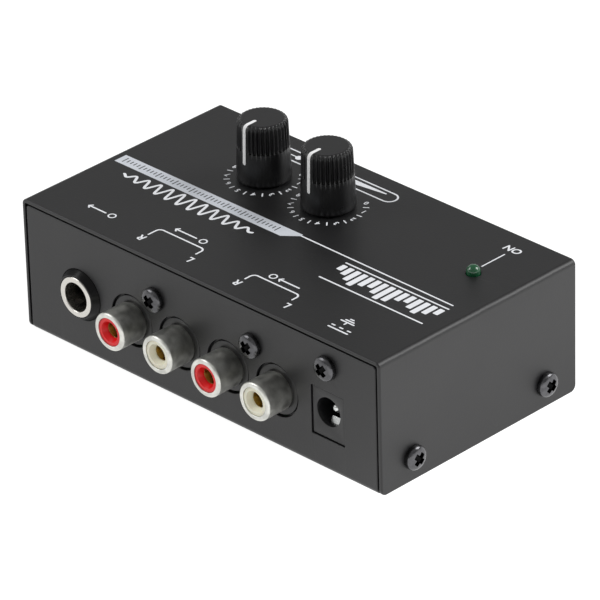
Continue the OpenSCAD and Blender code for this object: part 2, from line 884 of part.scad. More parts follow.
// Solid of revolution of the knob, drawn in or out by an amount all round and on top
module knob_form(by) {
    r0 = knob_d / 2 + by;
    r1 = knob_top_d / 2 + by;
    h = knob_h + by;
    rotate_extrude($fn = 96)
        union() {
            polygon([[0, 0], [r0, 0], [r1, h - knob_edge_r], [r1 - knob_edge_r, h], [0, h]]);
            intersection() {
                translate([r1 - knob_edge_r, h - knob_edge_r])
                    circle(knob_edge_r, $fn = 48);
                translate([r1 - knob_edge_r, h - knob_edge_r])
                    square(knob_edge_r);
            }
        }
}

// Channel that the pointer fills: over the top and down the +Y side
module pointer_channel() {
    difference() {
        union() {
            block([-pointer_w / 2, pointer_start, knob_h - past], [pointer_w / 2, knob_d, knob_h + past]);
            block([-pointer_w / 2, knob_d / 4, knob_h - pointer_drop], [pointer_w / 2, knob_d, knob_h + past]);
        }
        knob_form(-pointer_depth);
    }
}

module knob(i) {
    skirt_h = knob_h - flute_h;
    hub_r = shaft_r + hub_wall;
    color(moulded_black)
        translate([dial_x(i), dial_y, knob_z])
            difference() {
                knob_form(0);
                for (k = [flute_land : flute_n - 1 - flute_land])
                    rotate([0, 0, 90 + (k + 0.5) * 360 / flute_n])
                        translate([knob_r_at(skirt_h + flute_h / 2), 0, skirt_h])
                            cylinder(r = flute_depth, h = flute_h + past, $fn = 16);
                pointer_channel();
                difference() {
                    translate([0, 0, -past])
                        cylinder(r = knob_top_d / 2 - knob_wall, h = knob_hollow_depth + past);
                    translate([0, 0, -2 * past])
                        cylinder(r = hub_r, h = knob_hollow_depth + 3 * past);
                }
                difference() {
                    translate([0, 0, -past])
                        cylinder(r = shaft_r + press_gap, h = knob_bore_depth + past);
                    block([-shaft_d, -shaft_d, knob_bore_depth - flat_len - shaft_end_gap],
                        [shaft_d, -shaft_r + shaft_flat - press_gap, knob_bore_depth + past]);
                }
            }
}

module trim_knob() {
    knob(0);
}

module level_knob() {
    knob(1);
}

module pointer(i) {
    color("#f2f2f0")
        translate([dial_x(i), dial_y, knob_z])
            intersection() {
                knob_form(pointer_proud);
                pointer_channel();
            }
}

module trim_pointer() {
    pointer(0);
}

module level_pointer() {
    pointer(1);
}

// ---- lamp ----

module led_lens() {
    color("#0e4a33")
        translate([led_x, led_y, led_base_z]) {
            cylinder(r = led_flange_r, h = led_flange_t);
            cylinder(r = led_r, h = led_len - led_r);
            translate([0, 0, led_len - led_r])
                sphere(led_r);
        }
}

module led_leads() {
    color(tinned)
        for (s = [-1, 1])
            translate([led_x + s * lead_pitch, led_y, board_top])
                cylinder(r = lead_r, h = led_base_z - board_top, $fn = 24);
}

// Tube that holds the lamp at its height above the board
module led_spacer() {
    color(moulded_black)
        translate([led_x, led_y, board_top])
            difference() {
                cylinder(r = led_flange_r + 0.4, h = led_base_z - board_top);
                for (s = [-1, 1])
                    translate([s * lead_pitch, 0, -past])
                        cylinder(r = lead_r + press_gap * 3, h = led_base_z - board_top + 2 * past, $fn = 24);
            }
}

// ---- parts on the board ----

module op_amps() {
    color(moulded_black)
        for (p = op_amp_places)
            translate([p[0], p[1], board_top + op_amp_rise])
                difference() {
                    block([-op_amp_l / 2, -op_amp_w / 2, 0], [op_amp_l / 2, op_amp_w / 2, op_amp_h]);
                    translate([-op_amp_l / 2, 0, op_amp_h - 0.3])
                        cylinder(r = 0.8, h = past);
                }
}

module op_amp_pins() {
    color(tinned)
        for (p = op_amp_places)
            for (s = [-1, 1])
                for (k = [-1.5 : 1.5])
                    translate([p[0] + k * 2.54, p[1] + s * op_amp_w / 2, board_top])
                        mirror([0, s < 0 ? 1 : 0, 0]) {
                            block([-0.5, 0, op_amp_rise + 1.4], [0.5, 0.75, op_amp_rise + 1.65]);
                            block([-0.3, 0.5, 0], [0.3, 0.75, op_amp_rise + 1.65]);
                        }
}

module electrolytic_capacitors() {
    color("#26282e")
        for (p = can_places)
            translate([p[0], p[1], board_top])
                difference() {
                    cylinder(r = can_r, h = can_h);
                    translate([0, 0, 1.3])
                        rotate_extrude()
                            translate([can_r + 0.15, 0])
                                circle(0.45, $fn = 24);
                    for (a = [0, 90])
                        rotate([0, 0, a])
                            translate([-can_r * 0.6, -0.1, can_h - 0.2])
                                cube([can_r * 1.2, 0.2, past]);
                }
}

module film_capacitors() {
    color("#a8301f")
        for (p = film_places)
            translate([level_x + p[0], dial_y + p[1], board_top])
                block([-film_l / 2, -film_w / 2, 0], [film_l / 2, film_w / 2, film_h]);
}

module resistors() {
    color("#8fb3c4")
        for (p = resistor_places)
            translate([p[0] - resistor_l / 2, p[1], board_top + resistor_rise])
                rotate([0, 90, 0]) {
                    cylinder(r = resistor_r * 0.85, h = resistor_l, $fn = 32);
                    cylinder(r = resistor_r, h = 1.5, $fn = 32);
                    translate([0, 0, resistor_l - 1.5])
                        cylinder(r = resistor_r, h = 1.5, $fn = 32);
                }
}

module resistor_leads() {
    color(tinned)
        for (p = resistor_places)
            for (s = [-1, 1])
                translate([p[0] + s * resistor_l / 2, p[1], board_top])
                    mirror([s < 0 ? 1 : 0, 0, 0]) {
                        block([0, -0.25, resistor_rise - 0.25], [resistor_lead_out, 0.25, resistor_rise + 0.25]);
                        block([resistor_lead_out - 0.5, -0.25, 0], [resistor_lead_out, 0.25, resistor_rise]);
                    }
}

module regulator() {
    color(moulded_black)
        translate([regulator_at[0], regulator_at[1], board_top + regulator_rise])
            intersection() {
                cylinder(r = regulator_r, h = regulator_h);
                block([-regulator_r, -regulator_r, 0], [regulator_r, regulator_r * 0.6, regulator_h]);
            }
}

module regulator_legs() {
    color(tinned)
        for (k = [-1 : 1])
            translate([regulator_at[0] + k * 1.27, regulator_at[1], board_top])
                block([-0.22, -0.22, 0], [0.22, 0.22, regulator_rise]);
}

top_cover();
base_chassis();
cover_screws();
jack_screws();
ground_screw();
ground_nut();
ground_lug();
ground_wire();
output_jack_block();
input_jack_block();
jack_shells();
red_jack_inserts();
white_jack_inserts();
jack_contacts();
stereo_jack_body();
stereo_jack_ferrule();
stereo_jack_tip_spring();
stereo_jack_ring_spring();
power_jack_body();
power_jack_pin();
power_jack_spring();
circuit_board();
board_standoffs();
board_screws();
pot_wafers();
pot_cases();
pot_bushings();
pot_terminals();
trim_shaft();
level_shaft();
trim_wiper();
level_wiper();
trim_knob();
level_knob();
trim_pointer();
level_pointer();
led_lens();
led_leads();
led_spacer();
op_amps();
op_amp_pins();
electrolytic_capacitors();
film_capacitors();
resistors();
resistor_leads();
regulator();
regulator_legs();
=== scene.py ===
"""Looks of a small phono preamp with two dials, built around its packed frame.

Shapes are worked out in millimetres with numpy and go into meshes in metres, in the frame's own axes:
X runs along the socket panel, +Y points out of the socket panel, +Z up. A patch is a surface as three
arrays: its points, its quads and its triangles.
"""

import json
import math
from types import SimpleNamespace

import bmesh
import bpy
import numpy as np
from mathutils import Matrix, Vector
from mathutils.geometry import tessellate_polygon


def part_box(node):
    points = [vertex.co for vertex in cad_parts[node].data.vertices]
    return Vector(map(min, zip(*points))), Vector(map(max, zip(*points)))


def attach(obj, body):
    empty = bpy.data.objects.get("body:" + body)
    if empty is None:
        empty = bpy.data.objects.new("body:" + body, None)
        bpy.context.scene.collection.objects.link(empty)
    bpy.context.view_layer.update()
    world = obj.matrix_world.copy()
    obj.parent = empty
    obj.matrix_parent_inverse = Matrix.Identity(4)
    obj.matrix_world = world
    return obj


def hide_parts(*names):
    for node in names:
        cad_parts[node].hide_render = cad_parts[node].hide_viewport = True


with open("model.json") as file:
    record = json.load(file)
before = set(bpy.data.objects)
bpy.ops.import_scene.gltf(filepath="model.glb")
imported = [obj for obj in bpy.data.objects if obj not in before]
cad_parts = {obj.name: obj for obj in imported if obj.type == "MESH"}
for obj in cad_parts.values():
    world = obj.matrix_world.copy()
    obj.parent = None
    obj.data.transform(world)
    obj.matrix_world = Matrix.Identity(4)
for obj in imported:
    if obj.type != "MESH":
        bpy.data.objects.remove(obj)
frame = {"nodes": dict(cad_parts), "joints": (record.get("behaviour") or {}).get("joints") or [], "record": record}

bl_info = {
    "name": "Phono preamp",
    "version": (1, 0, 0),
    "blender": (4, 5, 0),
    "location": "3D View > Sidebar > Preamp",
    "description": "Builds the looks of a small phono preamp with two dials around its packed frame",
    "category": "Object",
}

MM = 0.001
WELD = 1e-6
QUARTER = np.pi / 2
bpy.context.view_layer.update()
# Points in a full turn: small round pieces, round pieces, and those whose rim shows against the light
COARSE, ROUND, SMOOTH = 64, 96, 128
# Points across one flute of a knob
FLUTE_POINTS = 12
# Corner radii of the moulded blocks and of the power socket, seen from the front, in millimetres
BLOCK_CORNER, POWER_CORNER = 0.6, 0.35
# Centres of the four standoffs on the base's floor, in millimetres
STANDOFFS = ((-42.3, -23.5), (42.3, -23.5), (-42.3, 8.5), (22.0, 12.6))


# ---- sizes and colours that a user may change ----


def length(name, millimetres, text):
    """A length property, given in millimetres."""
    return bpy.props.FloatProperty(name=name, description=text, default=millimetres * MM, unit="LENGTH",
                                   precision=5)


def number(name, value, text):
    """A plain number or count."""
    kind = bpy.props.IntProperty if isinstance(value, int) else bpy.props.FloatProperty
    return kind(name=name, description=text, default=value)


def linear(code):
    """An sRGB hex value such as #8899aa as linear red, green and blue: the sRGB curve undone."""
    value = np.array([int(code[i:i + 2], 16) for i in (1, 3, 5)]) / 255
    return tuple(np.where(value <= 0.04045, value / 12.92, ((value + 0.055) / 1.055) ** 2.4))


def colour(name, code, text):
    """A colour property, given as an sRGB hex value."""
    return bpy.props.FloatVectorProperty(name=name, description=text, default=linear(code), size=3,
                                         subtype="COLOR", min=0, max=1)


class CaseSizes(bpy.types.PropertyGroup):
    """Sheet metal of the cover and the base"""
    sheet: length("Sheet", 1.0, "Thickness of the base's steel sheet")
    cover_sheet: length("Cover sheet", 0.8, "Thickness of the cover's sheet where its edges show")
    cover_bend: length("Cover bend", 1.2, "Outer radius where the cover bends down at its ends")
    base_bend: length("Base bend", 1.4, "Outer radius where the base bends up into the panels")
    end_corner: length("End corner", 1.5, "Radius of the lower corners of the end plates")
    panel_corner: length("Panel corner", 0.6, "Radius of the upper corners of the panels")
    edge: length("Cover edge", 0.34, "Rounding of the coated outer edges of the cover")
    base_edge: length("Base edge", 0.26, "Rounding of the coated outer edges of the base")
    hole_edge: length("Hole edge", 0.14, "Rounding of the edges of the holes")
    boss_hole: length("Boss hole", 5.95, "Radius of the holes for the phono sockets")
    nose_hole: length("Nose hole", 5.81, "Radius of the hole for the stereo socket")
    screw_hole: length("Screw hole", 1.7, "Radius of the clearance holes")
    thread_hole: length("Thread hole", 1.55, "Radius of the threaded holes in the tabs")
    stem_hole: length("Stem hole", 2.12, "Radius of the holes for the standoffs")
    shaft_hole: length("Shaft hole", 4.0, "Radius of the holes under the knobs")
    lamp_hole: length("Lamp hole", 1.6, "Radius of the hole for the lamp")
    opening_gap: length("Opening gap", 0.12, "Gap round the power socket")
    tab_w: length("Tab width", 11.0, "Width of the tabs for the cover screws")
    tab_h: length("Tab height", 9.5, "Height of the tabs")
    tab_corner: length("Tab corner", 2.0, "Radius of the tabs' upper corners")


class ScrewSizes(bpy.types.PropertyGroup):
    """Pan head screws"""
    head_r: length("Head radius", 2.7, "Radius of the pan head")
    head_h: length("Head height", 1.8, "Height of the pan head")
    side_h: length("Side height", 0.65, "Height of the head's upright side")
    foot_edge: length("Foot edge", 0.12, "Rounding under the head")
    crown: number("Crown", 2.3, "Power of the dome's curve: 2 is round, more is flatter with a tighter rim")
    thread_r: length("Thread radius", 1.5, "Outer radius of the thread")
    pitch: length("Pitch", 0.5, "Distance between turns of the thread")
    thread_depth: length("Thread depth", 0.27, "Depth of the thread")
    wing_w: length("Wing half width", 0.46, "Half the width of the cross at its floor")
    wing_l: length("Wing length", 1.32, "Length of each wing of the cross at its floor")
    wall: length("Wall lean", 0.16, "How far the cross opens towards its top")
    cross_depth: length("Cross depth", 1.5, "Depth of the cross at its middle")
    square: number("Square part", 0.62, "Share of the head's radius in which the grid stays square")
    cover_len: length("Cover screw", 5.0, "Length of the cover screws")
    socket_len: length("Socket screw", 8.0, "Length of the screws of the sockets and the ground terminal")


class SocketSizes(bpy.types.PropertyGroup):
    """Phono, stereo and power sockets"""
    boss_r: length("Boss radius", 5.55, "Radius of the boss in the panel's hole")
    boss_recess: length("Boss recess", 0.3, "How far the boss lies behind the panel's face")
    foot_r: length("Foot radius", 3.95, "Radius of the shell's foot in the block")
    foot_proud: length("Foot step", 0.15, "How far in front of the panel the shell grows to full width")
    shell_wall: length("Shell wall", 1.1, "Wall of the shell")
    shell_lip: length("Shell lip", 0.55, "Outer rounding of the shell's front end")
    shell_inner_lip: length("Inner lip", 0.16, "Inner rounding of the shell's front end")
    contact_wall: length("Contact wall", 0.4, "Wall of the centre contact")
    funnel_r: length("Funnel radius", 2.35, "Radius of the funnel at the insert's face")
    funnel_depth: length("Funnel depth", 1.15, "Depth of the funnel")
    contact_start: length("Contact start", 1.35, "How far the contact lies behind the insert's face")
    contact_neck: length("Contact neck", 0.35, "How much the sprung contact narrows inside")
    block_edge: length("Block edge", 0.4, "Rounding of the moulded blocks")
    fit: length("Fit", 0.02, "Gap of a pressed fit")
    nose_r: length("Nose radius", 5.75, "Radius of the stereo socket's nose at the panel")
    nose_front_r: length("Nose front", 4.85, "Radius of the nose at its front")
    nose_lip: length("Nose lip", 0.28, "Rounding of the nose's front edge")
    ring_r: length("Ring radius", 4.55, "Radius of the silver ring")
    ring_bore: length("Ring bore", 3.25, "Radius of the ring's bore, for a 6.35 mm plug")
    ring_lip: length("Ring lip", 0.3, "Rounding of the ring's front edges")
    bore_gap: length("Bore gap", 0.3, "How much wider the housing's bore is than the ring's")
    spring_half: length("Slot half width", 1.5, "Half the width of the slots of the stereo socket's springs")
    spring_slot: length("Slot depth", 5.15, "Depth of those slots from the axis")
    power_bore: length("Power bore", 3.2, "Radius of the power socket's bore")
    power_depth: length("Power depth", 10.0, "Depth of the power socket's bore")
    power_slot: length("Power slot", 1.25, "Half the width of the slot for its spring")
    power_slot_start: length("Power slot start", 1.1, "How far the slot starts behind the face")
    power_edge: length("Power edge", 0.25, "Rounding of the power socket's face")
    pin_r: length("Pin radius", 1.05, "Radius of the power pin")
    pin_collar: length("Pin collar", 1.25, "Radius of the pin's collar")
    leaf_edge: length("Leaf edge", 0.08, "Rounding of the power spring's edges")


class KnobSizes(bpy.types.PropertyGroup):
    """Knobs and pointers"""
    foot_r: length("Foot radius", 5.85, "Radius of the knob at its foot")
    top_r: length("Top radius", 5.4, "Radius of the knob at its top")
    height: length("Height", 13.6, "Height of the knob")
    edge: length("Top edge", 1.1, "Rounding of the knob's top edge")
    foot_edge: length("Foot edge", 0.2, "Rounding of the knob's foot")
    flutes: number("Flutes", 36, "Flutes in a full turn")
    flute_from: length("Flute start", 7.3, "Height at which the flutes start")
    flute_run: length("Flute end", 0.06, "Height over which a flute runs out")
    flute_depth: length("Flute depth", 0.46, "Depth of a flute")
    flute_half: number("Flute share", 0.43, "Half a flute's width as a share of the pitch")
    land: number("Plain land", 10.0, "Degrees on each side of the pointer without flutes")
    hollow_r: length("Hollow radius", 4.35, "Radius of the hollow under the knob")
    hollow_h: length("Hollow height", 8.5, "Height of the hollow")
    hub_r: length("Hub radius", 4.1, "Radius of the hub inside")
    bore_r: length("Bore radius", 3.02, "Radius of the shaft's bore")
    bore_h: length("Bore height", 11.0, "Height of the bore")
    pointer_half: length("Pointer half width", 0.4, "Half the width of the white pointer")
    pointer_start: length("Pointer start", 1.9, "Distance of the pointer's inner end from the axis")
    pointer_drop: length("Pointer drop", 9.0, "How far the pointer runs down the side")
    pointer_proud: length("Pointer proud", 0.04, "How far the pointer stands out")
    pointer_depth: length("Pointer depth", 0.3, "How deep the pointer is let in")
    lens_r: length("Lens radius", 1.5, "Radius of the lamp")
    flange_r: length("Flange radius", 1.9, "Radius of the lamp's flange")
    flange_h: length("Flange height", 1.0, "Height of the lamp's flange")


class PrintSizes(bpy.types.PropertyGroup):
    """Generic marks printed on the cover"""
    ink: length("Ink", 0.02, "How far the ink stands over the coat")
    line: length("Line", 0.4, "Width of the brackets and pills")
    fine: length("Fine line", 0.32, "Width of the fine lines")
    tick: length("Tick", 0.3, "Width of the ticks between the numbers")
    digit: length("Digit", 1.3, "Height of the dial numbers")
    scale_r: length("Scale radius", 7.85, "Radius of the ring of numbers")
    tick_len: length("Tick length", 1.4, "Length of the ticks between the numbers")
    step: number("Step", 28.0, "Degrees between two numbers")
    letter: length("Letter", 2.0, "Height of the channel letters")
    bracket_r: length("Bracket corner", 1.1, "Radius of the brackets' corners")
    pill_w: length("Pill width", 17.4, "Width of the outlines in front of the dials")
    pill_low: length("Pill low", -24.3, "Front edge of those outlines")
    pill_high: length("Pill high", -20.6, "Back edge of those outlines")


class PreampColours(bpy.types.PropertyGroup):
    """Colours of the finishes"""
    coat: colour("Case coat", "#181819", "Satin black powder coat")
    screw: colour("Screw", "#58585a", "Black zinc of the screws")
    moulded: colour("Moulding", "#171718", "Black PBT of the sockets")
    knob: colour("Knob", "#151516", "Black ABS of the knobs")
    pointer: colour("Pointer", "#fafafa", "White pointer")
    ink: colour("Ink", "#f2f4f8", "Cool white ink of the marks")
    band_ink: colour("Band ink", "#d3d7de", "Grey-white ink of the broad band")
    shell: colour("Shell", "#d2d2cc", "Nickel of the phono shells")
    ring: colour("Ring", "#cfccc6", "Silver ring of the stereo socket")
    brass: colour("Brass", "#a08a52", "Brass of the contacts")
    red: colour("Red insert", "#f00c14", "Red insulators")
    white: colour("White insert", "#fffbe4", "White insulators")
    tin: colour("Tin", "#c9cbca", "Tinned contacts and leads")
    lens: colour("Lens", "#086238", "Green lamp")
    board: colour("Board", "#1f5c34", "Solder mask of the board")


class StageSizes(bpy.types.PropertyGroup):
    """Camera and studio light"""
    lens: number("Lens", 342.6, "Focal length in millimetres on a 36 mm sensor")
    fill: number("Fill", 0.4, "Strength of the even grey light")
    key: number("Key", 6.0, "Radiance of the two soft boxes")
    floor_glow: number("Floor", 0.93, "Level of the floor as the camera and reflections see it")
    floor_end: number("Floor by the end", 1.35, "Its level beside the seen end plate")
    box: length("Soft box", 700.0, "Side of each soft box")
    distance: length("Distance", 1250.0, "Distance of the soft boxes")


GROUPS = {"preamp_case": CaseSizes, "preamp_screws": ScrewSizes, "preamp_sockets": SocketSizes,
          "preamp_knobs": KnobSizes, "preamp_print": PrintSizes, "preamp_colours": PreampColours,
          "preamp_stage": StageSizes}


def sizes(name):
    """One group's values as plain numbers, its lengths in millimetres."""
    group = getattr(bpy.context.scene, name)
    values = {}
    for key in type(group).__annotations__:
        value = getattr(group, key)
        if getattr(group.bl_rna.properties[key], "unit", "NONE") == "LENGTH":
            value = round(value / MM, 4)
        values[key] = value
    return SimpleNamespace(**values)


def box_mm(node):
    """Lowest and highest corner of a CAD node, in millimetres."""
    low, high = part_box(node)
    return np.array(low) / MM, np.array(high) / MM


def mounts_mm(start):
    """Places of the mounts whose names begin with start, in millimetres, in order of name."""
    found = [m for m in frame["record"]["mounts"] if m["name"].startswith(start)]
    return [np.array(m["pos_m"]) / MM for m in sorted(found, key=lambda m: m["name"])]


# ---- patches ----

NO_QUADS = np.empty((0, 4), int)
NO_TRIS = np.empty((0, 3), int)


def join(*patches):
    """One patch of several: each patch's faces are counted on from the points before it."""
    starts = np.cumsum([0] + [len(p[0]) for p in patches[:-1]])
    return (np.vstack([p[0] for p in patches]), np.vstack([p[1] + s for p, s in zip(patches, starts)]),
            np.vstack([p[2] + s for p, s in zip(patches, starts)]))


def grid(points, around=True, along=False):
    """Patch of a table of points (rows, columns, 3), one quad a cell. around joins the last column to the
    first, along the last row to the first."""
    rows, columns = points.shape[:2]
    i = np.arange(rows if along else rows - 1)[:, None]
    j = np.arange(columns if around else columns - 1)[None, :]
    k, n = (i + 1) % rows, (j + 1) % columns
    quads = np.stack([i * columns + j, i * columns + n, k * columns + n, k * columns + j], -1)
    return points.reshape(-1, 3), quads.reshape(-1, 4), NO_TRIS


def lathe(profile, segments=ROUND, shape=None):
    """Surface of revolution: each point (r, z) of the profile goes round +Z as (r cos a, r sin a, z).
    shape(a, r, z) may change r before that."""
    profile = np.asarray(profile, float)
    a = np.linspace(0, 2 * np.pi, segments, endpoint=False)[None, :]
    r = np.repeat(profile[:, :1], segments, 1)
    z = np.repeat(profile[:, 1:], segments, 1)
    if shape is not None:
        r = shape(a, r, z)
    return grid(np.stack([r * np.cos(a), r * np.sin(a), z], -1))


TURNS = {"+z": ((1, 0, 0), (0, 1, 0), (0, 0, 1)), "+y": ((1, 0, 0), (0, 0, 1), (0, -1, 0)),
         "+x": ((0, 0, 1), (0, 1, 0), (-1, 0, 0)), "-x": ((0, 0, -1), (0, 1, 0), (1, 0, 0))}


def placed(patch, at, axis="+z"):
    """The patch turned so that its Z points along an axis, then moved to a place."""
    return patch[0] @ np.array(TURNS[axis], float).T + np.array(at, float), patch[1], patch[2]


def upright(flat, face):
    """A plate (x, y, depth) stood up with its front on Y = face, as (x, face - depth, y)."""
    return mapped(flat, flat[0][:, 0], face - flat[0][:, 2], flat[0][:, 1])


def mapped(patch, *columns):
    """The patch with each point's coordinates worked out anew as three arrays."""
    return np.stack(columns, 1), patch[1], patch[2]


def rounded(corners, closed=True, steps=6):
    """Line through corners (x, y, radius). At each an arc of that radius touches both sides: it starts and
    ends radius / tan(half the corner's angle) from the corner and is centred on the angle's bisector."""
    corners = np.asarray(corners, float)
    runs = []
    for k, (x, y, radius) in enumerate(corners):
        here = np.array([x, y])
        if radius == 0 or (not closed and k in (0, len(corners) - 1)):
            runs.append(here[None])
            continue
        a = corners[k - 1, :2] - here
        b = corners[(k + 1) % len(corners), :2] - here
        a, b = a / np.hypot(*a), b / np.hypot(*b)
        half = math.acos(np.clip(a @ b, -1, 1)) / 2
        middle = here + (a + b) / np.hypot(*(a + b)) * radius / math.sin(half)
        start = here + a * radius / math.tan(half) - middle
        end = here + b * radius / math.tan(half) - middle
        turn = math.pi - 2 * half
        s = np.linspace(0, 1, steps + 1)[:, None]
        runs.append(middle + (np.sin((1 - s) * turn) * start + np.sin(s * turn) * end) / math.sin(turn))
    return np.vstack(runs)


def rectangle(x0, y0, x1, y1, radius=0.0, steps=6):
    """Rectangle with round corners, running counterclockwise."""
    return rounded([(x0, y0, radius), (x1, y0, radius), (x1, y1, radius), (x0, y1, radius)], True, steps)


def circle(x, y, radius, segments=COARSE):
    """Circle running clockwise, as the edge of a hole."""
    a = -np.linspace(0, 2 * np.pi, segments, endpoint=False)
    return np.stack([x + radius * np.cos(a), y + radius * np.sin(a)], 1)


def inset(loop, by):
    """The loop moved to its left by a distance, with mitred corners: each point goes along the sum of its
    two sides' left normals over one plus their dot product."""
    step = np.roll(loop, -1, 0) - loop
    normal = np.stack([-step[:, 1], step[:, 0]], 1) / np.hypot(step[:, 0], step[:, 1])[:, None]
    before = np.roll(normal, 1, 0)
    return loop + by * (normal + before) / (1 + (normal * before).sum(1))[:, None]


def fill(loops):
    """Flat face between loops (x, y, z) that lie in one plane of constant z."""
    tris = tessellate_polygon([[Vector(p) for p in loop] for loop in loops])
    return np.vstack(loops), NO_QUADS, np.array(tris, int).reshape(-1, 3)


def plate(outline, holes=(), t=1.0, edge=0.4, hole_edge=0.15, back_edge=0.1, pits=(), steps=5):
    """Sheet between depth 0 and t, as (x, y, depth). The front edge of each loop is a quarter circle: at
    angle a it lies e (1 - sin a) inside and e (1 - cos a) deep. A pit opens only the front face."""
    a = np.linspace(0, QUARTER, steps + 1)
    patches, front, back = [], [], []
    for loop, e in [(outline, edge)] + [(hole, hole_edge) for hole in holes]:
        rings = list(zip(e * (1 - np.sin(a)), e * (1 - np.cos(a))))
        rings += list(zip(back_edge * (1 - np.cos(a)), t - back_edge * (1 - np.sin(a))))
        rows = np.array([np.c_[inset(loop, by), np.full(len(loop), depth)] for by, depth in rings])
        patches.append(grid(rows))
        front.append(rows[0])
        back.append(rows[-1])
    front += [np.c_[pit, np.zeros(len(pit))] for pit in pits]
    return join(*patches, fill(front), fill(back))


def to_mesh(name, patch, scale=1.0):
    """A mesh of a patch."""
    mesh = bpy.data.meshes.new(name)
    mesh.from_pydata((patch[0] * scale).tolist(), [], patch[1].tolist() + patch[2].tolist())
    return mesh


def from_mesh(mesh, scale=1.0):
    """A mesh as a patch of triangles."""
    points = np.empty(len(mesh.vertices) * 3)
    mesh.vertices.foreach_get("co", points)
    mesh.calc_loop_triangles()
    tris = np.empty(len(mesh.loop_triangles) * 3, int)
    mesh.loop_triangles.foreach_get("vertices", tris)
    bpy.data.meshes.remove(mesh)
    return points.reshape(-1, 3) * scale, NO_QUADS, tris.reshape(-1, 3)


def cut(patch, values):
    """The patch with its faces split at these values of x, so that it can bend there."""
    mesh = to_mesh("sheet", patch)
    work = bmesh.new()
    work.from_mesh(mesh)
    for value in values:
        bmesh.ops.bisect_plane(work, geom=work.verts[:] + work.edges[:] + work.faces[:],
                               plane_co=(value, 0, 0), plane_no=(1, 0, 0))
    work.to_mesh(mesh)
    work.free()
    return from_mesh(mesh)


def fold(flat, half, radius, strips=8):
    """A flat sheet (s, t, depth) bent at both ends round an outer radius, as (u, t, w) with w = 0 on the
    outer face. Past s = half the sheet turns by (s - half) / radius, up to a right angle: u is half plus
    (radius - depth) sin angle, w is (radius - depth) cos angle - radius, less what lies past the bend."""
    bends = half + radius * QUARTER * np.arange(strips + 1) / strips
    flat = cut(flat, np.r_[bends, -bends])
    s, t, depth = flat[0].T
    over = np.abs(s) - half
    angle = np.clip(over / radius, 0, QUARTER)
    beyond = np.maximum(over - radius * QUARTER, 0)
    u = np.sign(s) * (np.minimum(np.abs(s), half) + (radius - depth) * np.sin(angle))
    return mapped(flat, u, t, (radius - depth) * np.cos(angle) - radius - beyond)


def strip(path, up, half, proud, depth, closed=False):
    """Flat bar along a path of points, with round ends: its half width near an end is
    half sqrt(1 - ((half - s) / half)^2) at a distance s from it. up holds each point's outward direction."""
    path, up = np.asarray(path, float), np.asarray(up, float)
    step = np.hypot.reduce(np.diff(path, axis=0), axis=1)
    s = np.r_[0, np.cumsum(step)]
    if not closed:
        ends = half * (1 - np.cos(np.linspace(0, QUARTER, 7)))
        at = np.unique(np.round(np.r_[ends, s[(s > half) & (s < s[-1] - half)], s[-1] - ends], 6))
        path = np.stack([np.interp(at, s, path[:, k]) for k in range(3)], 1)
        up = np.stack([np.interp(at, s, up[:, k]) for k in range(3)], 1)
        s = at
        near = np.clip(np.minimum(s, s[-1] - s), 0, half)
        width = half * np.sqrt(np.maximum(1 - ((half - near) / half) ** 2, 0))
        along = np.gradient(path, s, axis=0)
    else:
        along = np.roll(path, -1, 0) - np.roll(path, 1, 0)
        width = np.full(len(path), half)
    side = np.cross(along, up)
    side /= np.linalg.norm(side, axis=1)[:, None]
    across = np.array([-1, -1, -0.5, 0, 0.5, 1, 1])
    high = np.array([-depth, proud * 0.4, proud * 0.9, proud, proud * 0.9, proud * 0.4, -depth])
    rows = path[:, None] + side[:, None] * (across[None, :, None] * width[:, None, None])
    return grid(rows + up[:, None] * high[None, :, None], True, closed)


def piece(name, patch, material, body, replaces=(), angle=38.0, weighted=False, deep=None):
    """A finished object of a patch in millimetres: doubles merged, faces pointing out, smooth up to an
    angle, riding on a body and standing for CAD nodes. deep gives each point an attribute for finishes
    that paint shade into a recess, darker the deeper it lies."""
    mesh = to_mesh(name, patch, MM)
    if deep is not None:
        mesh.attributes.new("deep", "FLOAT", "POINT").data.foreach_set("value", deep)
    work = bmesh.new()
    work.from_mesh(mesh)
    bmesh.ops.remove_doubles(work, verts=work.verts, dist=WELD)
    bmesh.ops.dissolve_degenerate(work, edges=work.edges, dist=WELD / 10)
    bmesh.ops.recalc_face_normals(work, faces=work.faces)
    work.to_mesh(mesh)
    work.free()
    mesh.shade_smooth()
    mesh.set_sharp_from_angle(angle=math.radians(angle))
    mesh.materials.append(material)
    made = bpy.data.objects.new(name, mesh)
    bpy.context.scene.collection.objects.link(made)
    if weighted:
        finish = made.modifiers.new("Flat faces", "WEIGHTED_NORMAL")
        finish.keep_sharp = True
    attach(made, body)
    if replaces:
        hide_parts(*replaces)
    return made


# ---- finishes ----


def add(tree, kind, inputs=None, **settings):
    """A node with its settings, and its inputs set to values or linked to other nodes' sockets."""
    new = tree.nodes.new(kind)
    for key, value in settings.items():
        setattr(new, key, value)
    for key, value in (inputs or {}).items():
        if isinstance(value, bpy.types.NodeSocket):
            tree.links.new(value, new.inputs[key])
        else:
            new.inputs[key].default_value = value
    return new


def rgba(value):
    """A colour with full opacity."""
    return (*tuple(value)[:3], 1.0)


